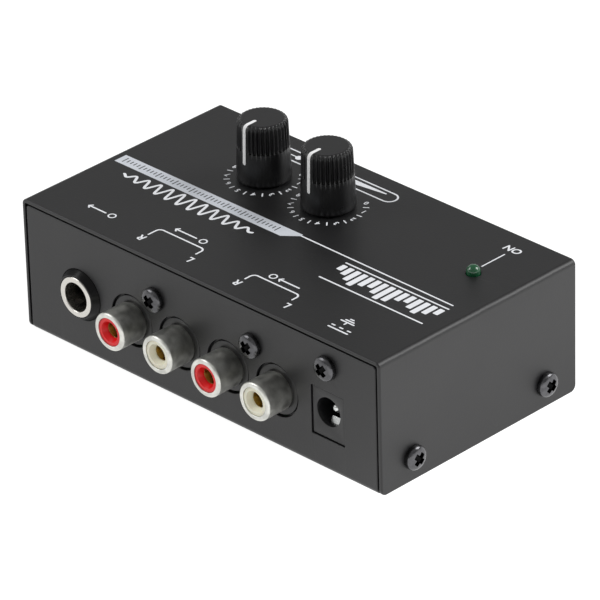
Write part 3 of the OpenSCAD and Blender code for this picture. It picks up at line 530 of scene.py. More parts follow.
def finish(name, base, rough, metallic=0.0, grain=0.3, depth=4.0, uneven=0.05, mottle=6.0, shade=0.06,
           stretch=(1, 1, 1), recess=False, **surface):
    """A finish on Object coordinates: a grain of so many mm that stands so many micrometres high, a
    roughness that wanders by uneven, and a colour that wanders by shade, both over mottle millimetres. Painted
    shade in a recess can turn the colour nearly black over the first 0.3 mm of depth."""
    made = bpy.data.materials.new(name)
    made.use_nodes = True
    tree = made.node_tree
    tree.nodes.clear()
    place = add(tree, "ShaderNodeTexCoord").outputs["Object"]
    place = add(tree, "ShaderNodeMapping", {"Vector": place, "Scale": stretch}).outputs["Vector"]
    fine = add(tree, "ShaderNodeTexNoise", {"Vector": place, "Scale": 1 / (grain * MM), "Detail": 2.0})
    broad = add(tree, "ShaderNodeTexNoise", {"Vector": place, "Scale": 1 / (mottle * MM), "Detail": 3.0})
    wander = add(tree, "ShaderNodeMapRange", {"Value": broad.outputs["Fac"], "From Min": 0.3,
                 "From Max": 0.7, "To Min": rough - uneven, "To Max": rough + uneven})
    tone = add(tree, "ShaderNodeMapRange", {"Value": broad.outputs["Fac"], "From Min": 0.3,
               "From Max": 0.7, "To Min": 1 - shade, "To Max": 1 + shade})
    # Painted shade: the colour turns nearly black over the first 0.3 mm down into a recess
    if recess:
        deep = add(tree, "ShaderNodeAttribute", attribute_name="deep").outputs["Fac"]
        dark = add(tree, "ShaderNodeMapRange", {"Value": deep, "From Max": 0.3, "To Min": 1.0,
                   "To Max": 0.06})
        tone = add(tree, "ShaderNodeMath", {0: tone.outputs["Result"], 1: dark.outputs["Result"]},
                   operation="MULTIPLY")
    tint = add(tree, "ShaderNodeHueSaturation", {"Color": rgba(base), "Value": tone.outputs[0]})
    bump = add(tree, "ShaderNodeBump", {"Height": fine.outputs["Fac"], "Distance": depth * 1e-6,
               "Strength": 1.0})
    shader = add(tree, "ShaderNodeBsdfPrincipled", {"Base Color": tint.outputs["Color"],
                 "Roughness": wander.outputs["Result"], "Metallic": metallic,
                 "Normal": bump.outputs["Normal"], **surface})
    add(tree, "ShaderNodeOutputMaterial", {"Surface": shader.outputs["BSDF"]})
    return made


# Each finish: its colour, one of the user's by name or an sRGB hex value, and what else finish takes.
FINISHES = {
    # Satin polyester powder on steel: a faint orange peel of 0.4 mm softens every reflection
    "satin powder coat": dict(base="coat", rough=0.43, grain=0.42, depth=16, uneven=0.02, mottle=14,
                              shade=0.03, IOR=1.5),
    # Black passivated zinc on steel: a dark metal with a clear bright rim and deep black sides, and painted shade
    # that turns the cross in each head nearly black
    "black zinc plating": dict(base="screw", rough=0.25, metallic=1.0, grain=0.4, depth=9, uneven=0.08,
                               mottle=0.9, shade=0.2, recess=True),
    # Tumbled nickel on a turned brass shell: a cloudy sheen in patches of about 2 mm
    "satin nickel plating": dict(base="shell", rough=0.39, metallic=1.0, grain=0.35, depth=7, uneven=0.05,
                                 mottle=1.9, shade=0.2),
    # Bright plated ring, almost a mirror
    "bright silver plating": dict(base="ring", rough=0.25, metallic=1.0, grain=0.4, depth=2, uneven=0.04,
                                  mottle=2, shade=0.03),
    # Bare brass, warm, with fine turning marks
    "turned brass": dict(base="brass", rough=0.28, metallic=1.0, grain=0.2, depth=3, uneven=0.06,
                         mottle=1.5, shade=0.08),
    # Tin plated copper: soft white metal with a slightly uneven sheen
    "tinned copper": dict(base="tin", rough=0.26, metallic=1.0, grain=0.25, depth=3, uneven=0.07,
                          mottle=1.2, shade=0.06),
    # Clear zinc on steel pressings: grey-blue and a little cloudy
    "clear zinc plating": dict(base="#b4b8bb", rough=0.34, metallic=1.0, grain=0.5, depth=4, uneven=0.08,
                               mottle=2.5, shade=0.08),
    # Glass-filled PBT from an eroded mould: a dull black skin with a fine tooth
    "moulded black PBT": dict(base="moulded", rough=0.42, grain=0.2, depth=6, uneven=0.05, mottle=3,
                              shade=0.08, IOR=1.52),
    # Black nylon of the stereo socket's nose, polished by the mould: nearly black with a sharp rim light
    "polished black nylon": dict(base="#050506", rough=0.26, grain=0.5, depth=2, uneven=0.03, mottle=3,
                                 shade=0.05, IOR=1.5, **{"Specular IOR Level": 0.22}),
    # Black ABS from a finely eroded mould: soft sheen along each rib
    "moulded black ABS": dict(base="knob", rough=0.3, grain=0.16, depth=4, uneven=0.03, mottle=4,
                              shade=0.05, IOR=1.55, **{"Specular IOR Level": 0.42}),
    # Tinted clear epoxy: a glossy bead, dark green because no lamp is lit behind it
    "green epoxy lens": dict(base="lens", rough=0.15, grain=0.8, depth=1, uneven=0.02, mottle=1, shade=0.1,
                             IOR=1.54, **{"Transmission Weight": 0.3, "Coat Weight": 0.4,
                                          "Coat Roughness": 0.14}),
    # Green solder mask over woven glass: the weave shows as a 0.4 mm ripple
    "green solder mask": dict(base="board", rough=0.3, grain=0.4, depth=8, uneven=0.04, mottle=5, shade=0.1,
                              IOR=1.5),
    # Brown phenolic paper: flat, with a fibrous mottle
    "brown paper laminate": dict(base="#7a4a22", rough=0.5, grain=0.3, depth=8, uneven=0.05, mottle=0.8,
                                 shade=0.15, IOR=1.5),
    # Natural acetal shaft: off-white, satin
    "natural acetal": dict(base="#e4e2da", rough=0.38, grain=0.4, depth=3, uneven=0.03, mottle=3,
                           shade=0.03, IOR=1.48),
    # Green PVC insulation: smooth and slightly soft
    "green PVC": dict(base="#3f8f3a", rough=0.42, grain=0.4, depth=4, uneven=0.04, mottle=3, shade=0.05,
                      IOR=1.53),
    # Shrunk PVC sleeve on an aluminium can: dark blue, glossy, a little wrinkled
    "shrunk blue sleeve": dict(base="#1d2c55", rough=0.25, grain=1.2, depth=20, uneven=0.05, mottle=3,
                               shade=0.06, IOR=1.53),
    # Dark red dipped epoxy of film capacitors: rounded, glossy, lumpy
    "dipped red epoxy": dict(base="#8e2b22", rough=0.22, grain=1.0, depth=25, uneven=0.05, mottle=2,
                             shade=0.08, IOR=1.54),
    # Pale blue lacquer of metal film resistors
    "blue resistor lacquer": dict(base="#6fa3c4", rough=0.35, grain=0.5, depth=8, uneven=0.05, mottle=1.5,
                                  shade=0.12, IOR=1.52),
}


def material(name):
    """A new material with the finish of this name."""
    values = dict(FINISHES[name])
    base = values.pop("base")
    return finish(name, linear(base) if base[0] == "#" else getattr(sizes("preamp_colours"), base), **values)


def insert_plastic(name, base):
    # Coloured polypropylene: smooth, slightly waxy, light goes a little way in
    return finish(name, base, 0.34, grain=0.5, depth=3, uneven=0.04, mottle=2, shade=0.04, IOR=1.5,
                  **{"Subsurface Weight": 0.12, "Subsurface Radius": (0.6 * MM, 0.4 * MM, 0.3 * MM),
                     "Subsurface Scale": 1.0})


def screen_ink(name, base):
    # Matt two-part screen ink: even colour, edges a hair above the coat, the weave of the screen in its skin
    return finish(name, base, 0.55, grain=0.25, depth=4, uneven=0.04, mottle=3, shade=0.03, IOR=1.48)


# ---- shapes of this preamp ----


# Grid lines of a screw's dome as shares of its radius, closer towards the rim, and the share of its depth
# by which the cross rises to the ends of its wings
DOME_LINES = (0.69, 0.76, 0.83, 0.89, 0.935, 0.965, 0.985, 1)
CROSS_RISE = 0.45


def pan_screw(reach):
    """Pan head screw with its head on z = 0. The head is a square grid pushed out to a disc: inside the
    square part it stays square, so that the walls of the cross follow its lines, and outside it blends to
    the circle of the same half side. Its height is side + (head - side)(1 - (r / R)^crown)^(1 / crown),
    less the cross, which is deepest at the middle. Below, the grid's edge runs down to a thread whose
    radius is the thread's less depth times the distance from a helix of one pitch a turn. Returns the
    patch and how deep each point lies in the cross."""
    s = sizes("preamp_screws")
    big, wing, end = s.head_r, s.wing_w, s.wing_l
    cross = np.array([0, 0.2, wing, wing + s.wall, 0.85, 1.1, end, end + s.wall]) / big
    lines = np.r_[cross, s.square, DOME_LINES]
    lines = np.r_[-lines[:0:-1], lines]
    u, v = np.meshgrid(lines, lines, indexing="ij")
    m = np.maximum(np.abs(u), np.abs(v))
    t = np.clip((m - s.square) / (1 - s.square), 0, 1)
    t = t * t * (3 - 2 * t)
    away = np.maximum(np.hypot(u, v), 1e-9)
    x, y = (big * q * (1 - t + t * m / away) for q in (u, v))
    r = np.hypot(x, y)
    dome = np.clip(1 - (r / big) ** s.crown, 0, 1) ** (1 / s.crown)
    z = s.side_h + (s.head_h - s.side_h) * dome
    a, b = np.abs(u) * big + 1e-6, np.abs(v) * big + 1e-6
    inside = ((a < wing + 0.01) & (b < end + 0.01)) | ((b < wing + 0.01) & (a < end + 0.01))
    floor = s.head_h - s.cross_depth * (1 - CROSS_RISE * np.clip(r / end, 0, 1))
    deep = np.where(inside, z - floor, 0)
    z = np.where(inside, floor, z)
    turned = np.array([[1, 1], [-1, 1]]) * math.sqrt(0.5)
    flat = np.stack([x, y], -1) @ turned
    head = grid(np.concatenate([flat, z[..., None]], -1), False)
    n = len(lines)
    edge = np.r_[np.c_[np.arange(n - 1), np.zeros(n - 1, int)],
                 np.c_[np.full(n - 1, n - 1), np.arange(n - 1)],
                 np.c_[np.arange(n - 1, 0, -1), np.full(n - 1, n - 1)],
                 np.c_[np.zeros(n - 1, int), np.arange(n - 1, 0, -1)]]
    ring = flat[edge[:, 0], edge[:, 1]] / big
    around = np.arctan2(ring[:, 1], ring[:, 0])
    e = s.foot_edge
    side = [(big, s.side_h), (big, e), (big - 0.3 * e, 0.3 * e), (big - e, 0), (s.thread_r, 0)]
    down = np.arange(0, reach, s.pitch / 6)[1:]
    rows = [np.c_[ring * radius, np.full(len(ring), height)] for radius, height in side]
    for depth in down:
        phase = (depth / s.pitch + around / (2 * np.pi)) % 1
        fade = np.clip((reach - depth) / s.pitch, 0, 1) * np.clip(depth / (2 * s.pitch), 0, 1)
        radius = s.thread_r - s.thread_depth * (np.abs(2 * phase - 1) * fade + 0.6 * (fade < 1) * (1 - fade))
        rows.append(np.c_[ring * radius[:, None], np.full(len(ring), -depth)])
    rows.append(np.c_[ring * (s.thread_r - s.thread_depth - 0.2), np.full(len(ring), -reach)])
    rows.append(np.c_[ring * 0, np.full(len(ring), -reach)])
    screw = join(head, grid(np.array(rows)))
    return screw, np.r_[deep.ravel(), np.zeros(len(screw[0]) - deep.size)]


def slotted(*slots):
    """Rule for lathe: inside a slot's heights the radius grows to the slot's walls, the smaller of
    half / |sin| and deep / cos of the angle from its middle. A slot is (middle, half, deep, low, high)."""
    def shape(a, r, z):
        for middle, half, deep, low, high in slots:
            c, s = np.cos(a - middle), np.abs(np.sin(a - middle))
            wall = np.minimum(half / np.maximum(s, 1e-6), deep / np.maximum(c, 1e-6))
            r = np.where((z > low) & (z < high) & (c > 0), np.maximum(r, wall), r)
        return r
    return shape


def jack_block(node, places):
    """Moulded block of two phono sockets: a box with round edges whose front opens into two bosses, each
    a ring round the shell's seat, with the contact's narrower bore behind it."""
    s, case, screw = sizes("preamp_sockets"), sizes("preamp_case"), sizes("preamp_screws")
    low, high = box_mm(node)
    panel = box_mm("base_chassis")[1][1]
    front = panel - case.sheet
    seat = box_mm("jack_shells")[0][1]
    back = box_mm("jack_contacts")[0][1]
    middle = (low[0] + high[0]) / 2
    screw_z = box_mm("jack_screws")[0][2] + screw.head_r
    outline = rectangle(low[0], low[2], high[0], high[2], BLOCK_CORNER)
    body = plate(outline, [circle(middle, screw_z, case.thread_hole)], front - low[1], s.block_edge, 0.1,
                 s.block_edge, [circle(p[0], p[2], s.boss_r, ROUND) for p in places])
    face = panel - s.boss_recess
    bore, contact = s.foot_r + s.fit, mount_radius("phono_1_contact") + s.contact_wall + s.fit
    line = rounded([(s.boss_r, front, 0), (s.boss_r, face, 0.22), (bore, face, 0.1), (bore, seat, 0),
                    (contact, seat, 0), (contact, back, 0), (0, back, 0)], False)
    boss = lathe(line, ROUND)
    return join(upright(body, front), *[placed(boss, (p[0], 0, p[2]), "+y") for p in places])


def mount_radius(name):
    """A mount's radius in millimetres."""
    return [m for m in frame["record"]["mounts"] if m["name"] == name][0]["dims"]["r_mm"]


def knob_form(a, r, z):
    """Rule for lathe: a flute takes depth cos(90 degrees d / half) off the radius, d being the distance
    from the flute's middle in pitches. It runs out over a short height at its foot and as the fourth power
    of the height over the rounded shoulder, and the flutes beside the pointer are left out."""
    k = sizes("preamp_knobs")
    over = np.clip((z - k.height + k.edge) / k.edge, 0, 1)
    turn = np.degrees(a)
    place = (turn - 90) * k.flutes / 360 - 0.5
    off = np.abs(place - np.round(place))
    groove = np.cos(np.clip(off / k.flute_half, 0, 1) * QUARTER)
    groove = np.where(np.abs((turn - 90 + 180) % 360 - 180) > k.land, groove, 0)
    run = np.clip((z - k.flute_from) / k.flute_run, 0, 1)
    outside = (z > k.flute_from) & (r > k.hollow_r + 0.01)
    return np.where(outside, r - k.flute_depth * groove * run * (1 - over ** 4), r)


def knob_profile():
    """Line (r, z) of the knob from the middle of its top, down the outside, round its foot, up into the
    hollow, down the hub and up the shaft's bore to the axis."""
    k = sizes("preamp_knobs")
    arc = np.linspace(0, QUARTER, 9)
    shoulder = k.height - k.edge
    slope = lambda z: k.foot_r + (k.top_r - k.foot_r) * np.minimum(z / shoulder, 1)
    top = [(r, k.height) for r in (0, 1.5, 3.0, 4.0, k.top_r - k.edge - 0.1)]
    edge = [(k.top_r - k.edge + k.edge * math.sin(t), shoulder + k.edge * math.cos(t)) for t in arc]
    heights = np.r_[np.linspace(shoulder, k.flute_from + k.flute_run, 6)[1:],
                    np.linspace(k.flute_from, k.foot_edge, 6)]
    side = [(slope(z), z) for z in heights]
    foot = [(k.foot_r - k.foot_edge + k.foot_edge * math.cos(t), k.foot_edge - k.foot_edge * math.sin(t))
            for t in arc[2::2]]
    under = [(k.hollow_r + 0.1, 0), (k.hollow_r, 0.1), (k.hollow_r, k.hollow_h), (k.hub_r, k.hollow_h),
             (k.hub_r, 0), (k.bore_r + 0.2, 0), (k.bore_r, 0.2), (k.bore_r, k.bore_h), (0, k.bore_h)]
    return top + edge + side + foot + under


def pointer_form():
    """White bar that starts on the knob's top, bends over its edge and runs down its side."""
    k = sizes("preamp_knobs")
    shoulder = k.height - k.edge
    end = k.height - k.pointer_drop
    arc = np.linspace(0, QUARTER, 9)
    lean = (k.foot_r - k.top_r) / shoulder
    path = np.r_[[(k.pointer_start, k.height), (k.top_r - k.edge - 0.5, k.height)],
                 np.c_[k.top_r - k.edge + k.edge * np.sin(arc), shoulder + k.edge * np.cos(arc)],
                 [(k.top_r + lean * (shoulder - end), end)]]
    up = np.r_[[(0, 1), (0, 1)], np.c_[np.sin(arc), np.cos(arc)], [(1, lean)]]
    return strip(np.insert(path, 0, 0, 1), np.insert(up, 0, 0, 1), k.pointer_half, k.pointer_proud,
                 k.pointer_depth)


# ---- marks on the cover ----

# Places on the cover's top, in millimetres: brackets as (x0, x1, y of the line, y0, y1), characters as
# (text, x, y), arrows as (x and y of the ring, x of the tail, reach), rows of a sign as (half width, y)
BRACKETS = ((7.4, 20.6, 18.75, 21.5, 22.2), (-20.5, -7.35, 19.35, 21.9, 22.1))
CHANNELS = (("R", 20.9, 23.9), ("L", 6.8, 23.8), ("R", -7.1, 24.1), ("L", -21.2, 24.1))
ARROWS = ((10.1, 16.6, 11.9, 6.2), (-10.9, 17.4, -18.4, 5.8), (31.9, 21.5, 33.6, 5.2))
ARROW_RING, ARROW_HEAD = 0.8, 0.75
DIRECT_CURRENT = ((-38.6, -33.0, 24.3), (-38.5, -37.4, 23.3), (-36.35, -35.25, 23.3), (-34.2, -33.1, 23.3))
GROUND_X, GROUND_STEM = -35.2, (22.0, 20.9)
GROUND_ROWS = ((1.9, 20.9), (1.25, 20.2), (0.6, 19.5))
LAMP_LINE, LAMP_TEXT = ((-39.3, -13.7), (-39.3, -20.7)), (-39.3, -23.1)
LETTER_SLANT, LAMP_SLANT = 0.15, 0.12
BAND_LOW, BAND_HIGH, BAND_END, BAND_SLANT = 0.95, 4.35, 49.1, (0.1, -3.1)
RULE, RULE_WIDTH = ((-2.9, 1.5), (-46.2, 1.85)), 0.38
SCALE_FIRST, SCALE_MIDDLE, SCALE_TICKS = 47.6, 2.6, 46
SCALE_LONG, SCALE_SHORT, SCALE_EVERY, SCALE_HALF = 1.0, 0.6, 5, 0.15
WAVE_FROM, WAVE_RUN, WAVE_MIDDLE, WAVE_HEIGHT, WAVE_TURNS, WAVE_WIDTH = 5.0, 38.6, 7.1, 2.1, 1.9, 0.62
BARS = (2.2, 3.4, 4.6, 3.8, 2.6, 3.2, 4.9, 5.4, 4.2, 3.0, 3.7, 5.0, 4.0, 2.8, 2.0)
BAR_FROM, BAR_PITCH, BAR_WIDTH, BAR_FOOT, BAR_SCALE = -46.4, 1.93, 1.35, 4.4, 1.1
BAR_RULES = ((-46.6, -17.7, 11.2), (-46.6, -17.7, 3.5))


def stroke(points, width, closed=False):
    """Printed line of a width along points (x, y) on the cover's top."""
    p = sizes("preamp_print")
    top = box_mm("top_cover")[1][2]
    points = np.asarray(points, float)
    path = np.c_[points, np.full(len(points), top)]
    return strip(path, np.tile((0.0, 0.0, 1.0), (len(path), 1)), width / 2, p.ink, p.ink, closed)


def patch_of_ink(outline, holes=()):
    """Printed area inside a counterclockwise outline on the cover's top."""
    p = sizes("preamp_print")
    top = box_mm("top_cover")[1][2]
    flat = plate(np.asarray(outline, float), holes, 2 * p.ink, 0, 0, 0, steps=1)
    return mapped(flat, flat[0][:, 0], flat[0][:, 1], top + p.ink - flat[0][:, 2])


def characters(text, height, x, y, slant=0.0):
    """Numbers or single letters of a height, centred on (x, y): Blender's own font made a mesh."""
    p = sizes("preamp_print")
    data = bpy.data.curves.new("mark", "FONT")
    data.body, data.align_x, data.extrude, data.resolution_u = text, "CENTER", 0.5, 4
    data.offset = 0.022
    source = bpy.data.objects.new("mark", data)
    bpy.context.scene.collection.objects.link(source)
    bpy.context.view_layer.update()
    patch = from_mesh(bpy.data.meshes.new_from_object(source))
    bpy.data.objects.remove(source)
    bpy.data.curves.remove(data)
    points = patch[0]
    low, high = points.min(0), points.max(0)
    scale = height / (high[1] - low[1])
    flat = (points[:, :2] - (low[:2] + high[:2]) / 2) * scale
    top = box_mm("top_cover")[1][2]
    return mapped(patch, x + flat[:, 0] + slant * flat[:, 1], y + flat[:, 1], top + points[:, 2] * 2 * p.ink)


def bracket(x0, x1, y_line, y0, y1):
    """Rounded bracket that opens towards the socket panel, between two sockets."""
    p = sizes("preamp_print")
    line = rounded([(x0, y0, 0), (x0, y_line, p.bracket_r), (x1, y_line, p.bracket_r), (x1, y1, 0)], False)
    return stroke(line, p.line)


def ring_of_ink(x, y, radius, width):
    """Printed ring."""
    return stroke(circle(x, y, radius, 40), width, True)


def arrow(x, y, reach, width):
    """Printed arrow along X from x by reach, which may be negative, with an open head."""
    end, head = x + reach, math.copysign(ARROW_HEAD, reach)
    shaft = stroke([(x, y), (end, y)], width)
    tip = stroke([(end - head, y + ARROW_HEAD), (end, y), (end - head, y - ARROW_HEAD)], width)
    return join(shaft, tip)


# ---- operators, one for each piece or group of like pieces ----


class PREAMP_OT_cover(bpy.types.Operator):
    """Top cover: one sheet bent down over both ends, with its holes"""
    bl_idname = "preamp.cover"
    bl_label = "Top cover"

    def execute(self, context):
        c = sizes("preamp_case")
        low, high = box_mm("top_cover")
        half = high[0] - c.cover_bend
        drop = high[2] - low[2] - c.cover_bend
        end = half + c.cover_bend * QUARTER + drop
        screw_low, screw_high = box_mm("cover_screws")
        screw_z = (screw_low[2] + screw_high[2]) / 2
        screw_y = screw_high[1] - sizes("preamp_screws").head_r
        lamp = (sum(box_mm("led_lens")) / 2)[:2]
        holes = [circle(j["pos_m"][0] / MM, j["pos_m"][1] / MM, c.shaft_hole) for j in frame["joints"]
                 if j["type"] == "hinge"]
        holes.append(circle(*lamp, c.lamp_hole))
        at = end - (screw_z - low[2])
        holes += [circle(s * at, t * screw_y, c.screw_hole) for s in (-1, 1) for t in (-1, 1)]
        flat = plate(rectangle(-end, low[1], end, high[1], c.end_corner, 10), holes, c.cover_sheet, c.edge,
                     c.hole_edge, 0.12)
        bent = fold(flat, half, c.cover_bend)
        cover = mapped(bent, bent[0][:, 0], bent[0][:, 1], high[2] + bent[0][:, 2])
        piece("cover_sheet", cover, material("satin powder coat"), "case", ["top_cover"],
              weighted=True)
        return {"FINISHED"}


class PREAMP_OT_base(bpy.types.Operator):
    """Base: one sheet bent up into the socket panel and the front panel, with four tabs"""
    bl_idname = "preamp.base"
    bl_label = "Base"

    def execute(self, context):
        c = sizes("preamp_case")
        low, high = box_mm("base_chassis")
        half = high[1] - c.base_bend
        rise = half + c.base_bend * QUARTER - c.base_bend
        power = box_mm("power_jack_body")
        screw_z = sum(box_mm("jack_screws"))[2] / 2
        ground = sum(box_mm("ground_screw")) / 2
        nose = mounts_mm("stereo_socket")[0]
        holes = [circle(rise + p[2], p[0], c.boss_hole, ROUND) for p in mounts_mm("phono_")[::2]]
        holes.append(circle(rise + nose[2], nose[0], c.nose_hole, ROUND))
        for node in ("output_jack_block", "input_jack_block"):
            holes.append(circle(rise + screw_z, sum(box_mm(node))[0] / 2, c.screw_hole))
        holes.append(circle(rise + ground[2], ground[0], c.screw_hole))
        g = c.opening_gap
        holes.append(rectangle(rise + power[0][2] - g, power[0][0] - g, rise + power[1][2] + g,
                               power[1][0] + g, 0.3)[::-1])
        holes += [circle(y, x, c.stem_hole) for x, y in STANDOFFS]
        end = rise + high[2]
        flat = plate(rectangle(-end, low[0], end, high[0], c.panel_corner), holes, c.sheet,
                     c.base_edge, c.hole_edge)
        bent = fold(flat, half, c.base_bend)
        base = mapped(bent, bent[0][:, 1], bent[0][:, 0], -bent[0][:, 2])
        screw_low, screw_high = box_mm("cover_screws")
        tab_y = screw_high[1] - sizes("preamp_screws").head_r
        tab_z = (screw_low[2] + screw_high[2]) / 2
        w, inner = c.tab_w / 2, 0.3
        outline = rounded([(-w, inner, 0), (w, inner, 0), (w, c.tab_h, c.tab_corner),
                           (-w, c.tab_h, c.tab_corner)])
        tab = plate(outline, [circle(0, tab_z, c.thread_hole)], c.sheet, 0.15, 0.1)
        parts = [base]
        for side in (-1, 1):
            for y in (-tab_y, tab_y):
                parts.append(mapped(tab, side * (high[0] - tab[0][:, 2]), y + tab[0][:, 0], tab[0][:, 1]))
        piece("base_sheet", join(*parts), material("satin powder coat"), "case",
              ["base_chassis"], weighted=True)
        return {"FINISHED"}


class PREAMP_OT_screws(bpy.types.Operator):
    """Black pan head screws of the cover, the sockets and the ground terminal"""
    bl_idname = "preamp.screws"
    bl_label = "Screws"

    def execute(self, context):
        s = sizes("preamp_screws")
        plating = material("black zinc plating")
        low, high = box_mm("cover_screws")
        z, y, x = (low[2] + high[2]) / 2, high[1] - s.head_r, high[0] - s.head_h
        short, deep = pan_screw(s.cover_len)
        cover = [placed(short, (t * x, u * y, z), "+x" if t > 0 else "-x") for t in (-1, 1) for u in (-1, 1)]
        piece("cover_screw_set", join(*cover), plating, "case", ["cover_screws"],
              deep=np.tile(deep, len(cover)))
        panel = box_mm("base_chassis")[1][1]
        tall, deep = pan_screw(s.socket_len)
        low, high = box_mm("jack_screws")
        z = (low[2] + high[2]) / 2
        sockets = [placed(tall, (t, panel, z), "+y") for t in (high[0] - s.head_r, low[0] + s.head_r)]
        piece("socket_screw_set", join(*sockets), plating, "case", ["jack_screws"],
              deep=np.tile(deep, len(sockets)))
        low, high = box_mm("ground_screw")
        ground = placed(tall, ((low[0] + high[0]) / 2, panel, (low[2] + high[2]) / 2), "+y")
        piece("ground_terminal_screw", ground, plating, "ground_terminal",
              ["ground_screw"], deep=deep)
        return {"FINISHED"}


class PREAMP_OT_phono_sockets(bpy.types.Operator):
    """Four phono sockets: blocks, nickel shells, coloured inserts and brass contacts"""
    bl_idname = "preamp.phono_sockets"
    bl_label = "Phono sockets"

    def execute(self, context):
        s = sizes("preamp_sockets")
        colours = sizes("preamp_colours")
        places = mounts_mm("phono_")[::2]
        moulding = material("moulded black PBT")
        piece("output_block", jack_block("output_jack_block", places[:2]), moulding, "case",
              ["output_jack_block"])
        piece("input_block", jack_block("input_jack_block", places[2:]), moulding, "case",
              ["input_jack_block"])
        low, high = box_mm("jack_shells")
        panel = box_mm("base_chassis")[1][1]
        big = mount_radius("phono_1_shell")
        inner = big - s.shell_wall
        line = rounded([(inner, low[1], 0.05), (s.foot_r, low[1], 0.05), (s.foot_r, panel + s.foot_proud, 0),
                        (big, panel + s.foot_proud, 0.08), (big, high[1], s.shell_lip),
                        (inner, high[1], s.shell_inner_lip)], True, 8)
        shell = lathe(np.r_[line, line[:1]], SMOOTH)
        shells = [placed(shell, (p[0], 0, p[2]), "+y") for p in places]
        piece("shell_set", join(*shells), material("satin nickel plating"), "case",
              ["jack_shells"])
        face = box_mm("red_jack_inserts")[1][1]
        bore = mount_radius("phono_1_contact")
        self.contacts(s, places, bore, face)
        tube = bore + s.contact_wall
        line = rounded([(tube + s.fit, low[1], 0), (inner - s.fit, low[1], 0), (inner - s.fit, face, 0.12),
                        (s.funnel_r, face, 0.12), (bore + 0.1, face - s.funnel_depth, 0.1),
                        (bore + 0.1, face - s.contact_start, 0), (tube + s.fit, face - s.contact_start, 0)])
        insert = lathe(np.r_[line, line[:1]], ROUND)
        for name, node, slot, base, chosen in (
                ("red_insert_set", "red_jack_inserts", "red_insert", colours.red, places[::2]),
                ("white_insert_set", "white_jack_inserts", "white_insert", colours.white, places[1::2])):
            made = [placed(insert, (p[0], 0, p[2]), "+y") for p in chosen]
            piece(name, join(*made), insert_plastic(slot.replace("_", " "), base), "case", [node])
        return {"FINISHED"}

    def contacts(self, s, places, bore, face):
        """Sprung brass tubes whose mouths flare, narrow to a neck and widen again to the back."""
        back = box_mm("jack_contacts")[0][1]
        tube, front = bore + s.contact_wall, face - s.contact_start
        neck, middle = bore - s.contact_neck, (front + back) / 2
        line = rounded([(tube, back, 0), (tube, front - 0.02, 0.05), (bore + 0.08, front - 0.02, 0.08),
                        (neck, front - 1.6, 0.8), (neck, middle, 0.8), (bore, back + 1.2, 0.3),
                        (bore, back, 0)], True, 8)
        contact = lathe(np.r_[line, line[:1]], ROUND)
        made = [placed(contact, (p[0], 0, p[2]), "+y") for p in places]
        piece("contact_set", join(*made), material("turned brass"), "case",
              ["jack_contacts"])


class PREAMP_OT_stereo_socket(bpy.types.Operator):
    """Stereo socket: black housing with its nose, and the silver ring"""
    bl_idname = "preamp.stereo_socket"
    bl_label = "Stereo socket"

    def execute(self, context):
        s, c = sizes("preamp_sockets"), sizes("preamp_case")
        low, high = box_mm("stereo_jack_body")
        panel = box_mm("base_chassis")[1][1]
        at = mounts_mm("stereo_socket")[0]
        inside = panel - c.sheet
        ring_low, ring_high = box_mm("stereo_jack_ferrule")
        outline = rectangle(low[0], low[2], high[0], high[2], BLOCK_CORNER)
        body = plate(outline, (), inside - low[1], s.block_edge, 0, s.block_edge,
                     [circle(at[0], at[2], s.nose_r, ROUND)])
        seat, bore, back = s.ring_r + s.fit, s.ring_bore + s.bore_gap, low[1] + 1.5
        line = rounded([(s.nose_r, inside, 0), (s.nose_r, panel, 0.1), (s.nose_front_r, high[1], s.nose_lip),
                        (seat, high[1], 0.03), (seat, ring_low[1], 0), (bore, ring_low[1], 0)], False)
        tip, ring = box_mm("stereo_jack_tip_spring"), box_mm("stereo_jack_ring_spring")
        slots = [(-QUARTER, s.spring_half, s.spring_slot, tip[0][1] - 0.5, tip[1][1] + 1.5),
                 (QUARTER, s.spring_half, s.spring_slot, ring[0][1] - 0.5, ring[1][1] + 0.5)]
        marks = sorted([y + d for slot in slots for y in slot[3:] for d in (-0.004, 0.004)], reverse=True)
        line = np.r_[line, [(bore, y) for y in marks], [(bore, back), (0, back)]]
        nose = placed(lathe(line, ROUND, slotted(*slots)), (at[0], 0, at[2]), "+y")
        piece("stereo_housing", join(upright(body, inside), nose), material("polished black nylon"), "case",
              ["stereo_jack_body"])
        line = rounded([(s.ring_bore, ring_low[1], 0), (s.ring_r, ring_low[1], 0.05),
                        (s.ring_r, ring_high[1], s.ring_lip), (s.ring_bore, ring_high[1], s.ring_lip)],
                       True, 8)
        ferrule = placed(lathe(np.r_[line, line[:1]], SMOOTH), (at[0], 0, at[2]), "+y")
        piece("stereo_ring", ferrule, material("bright silver plating"), "case",
              ["stereo_jack_ferrule"])
        return {"FINISHED"}


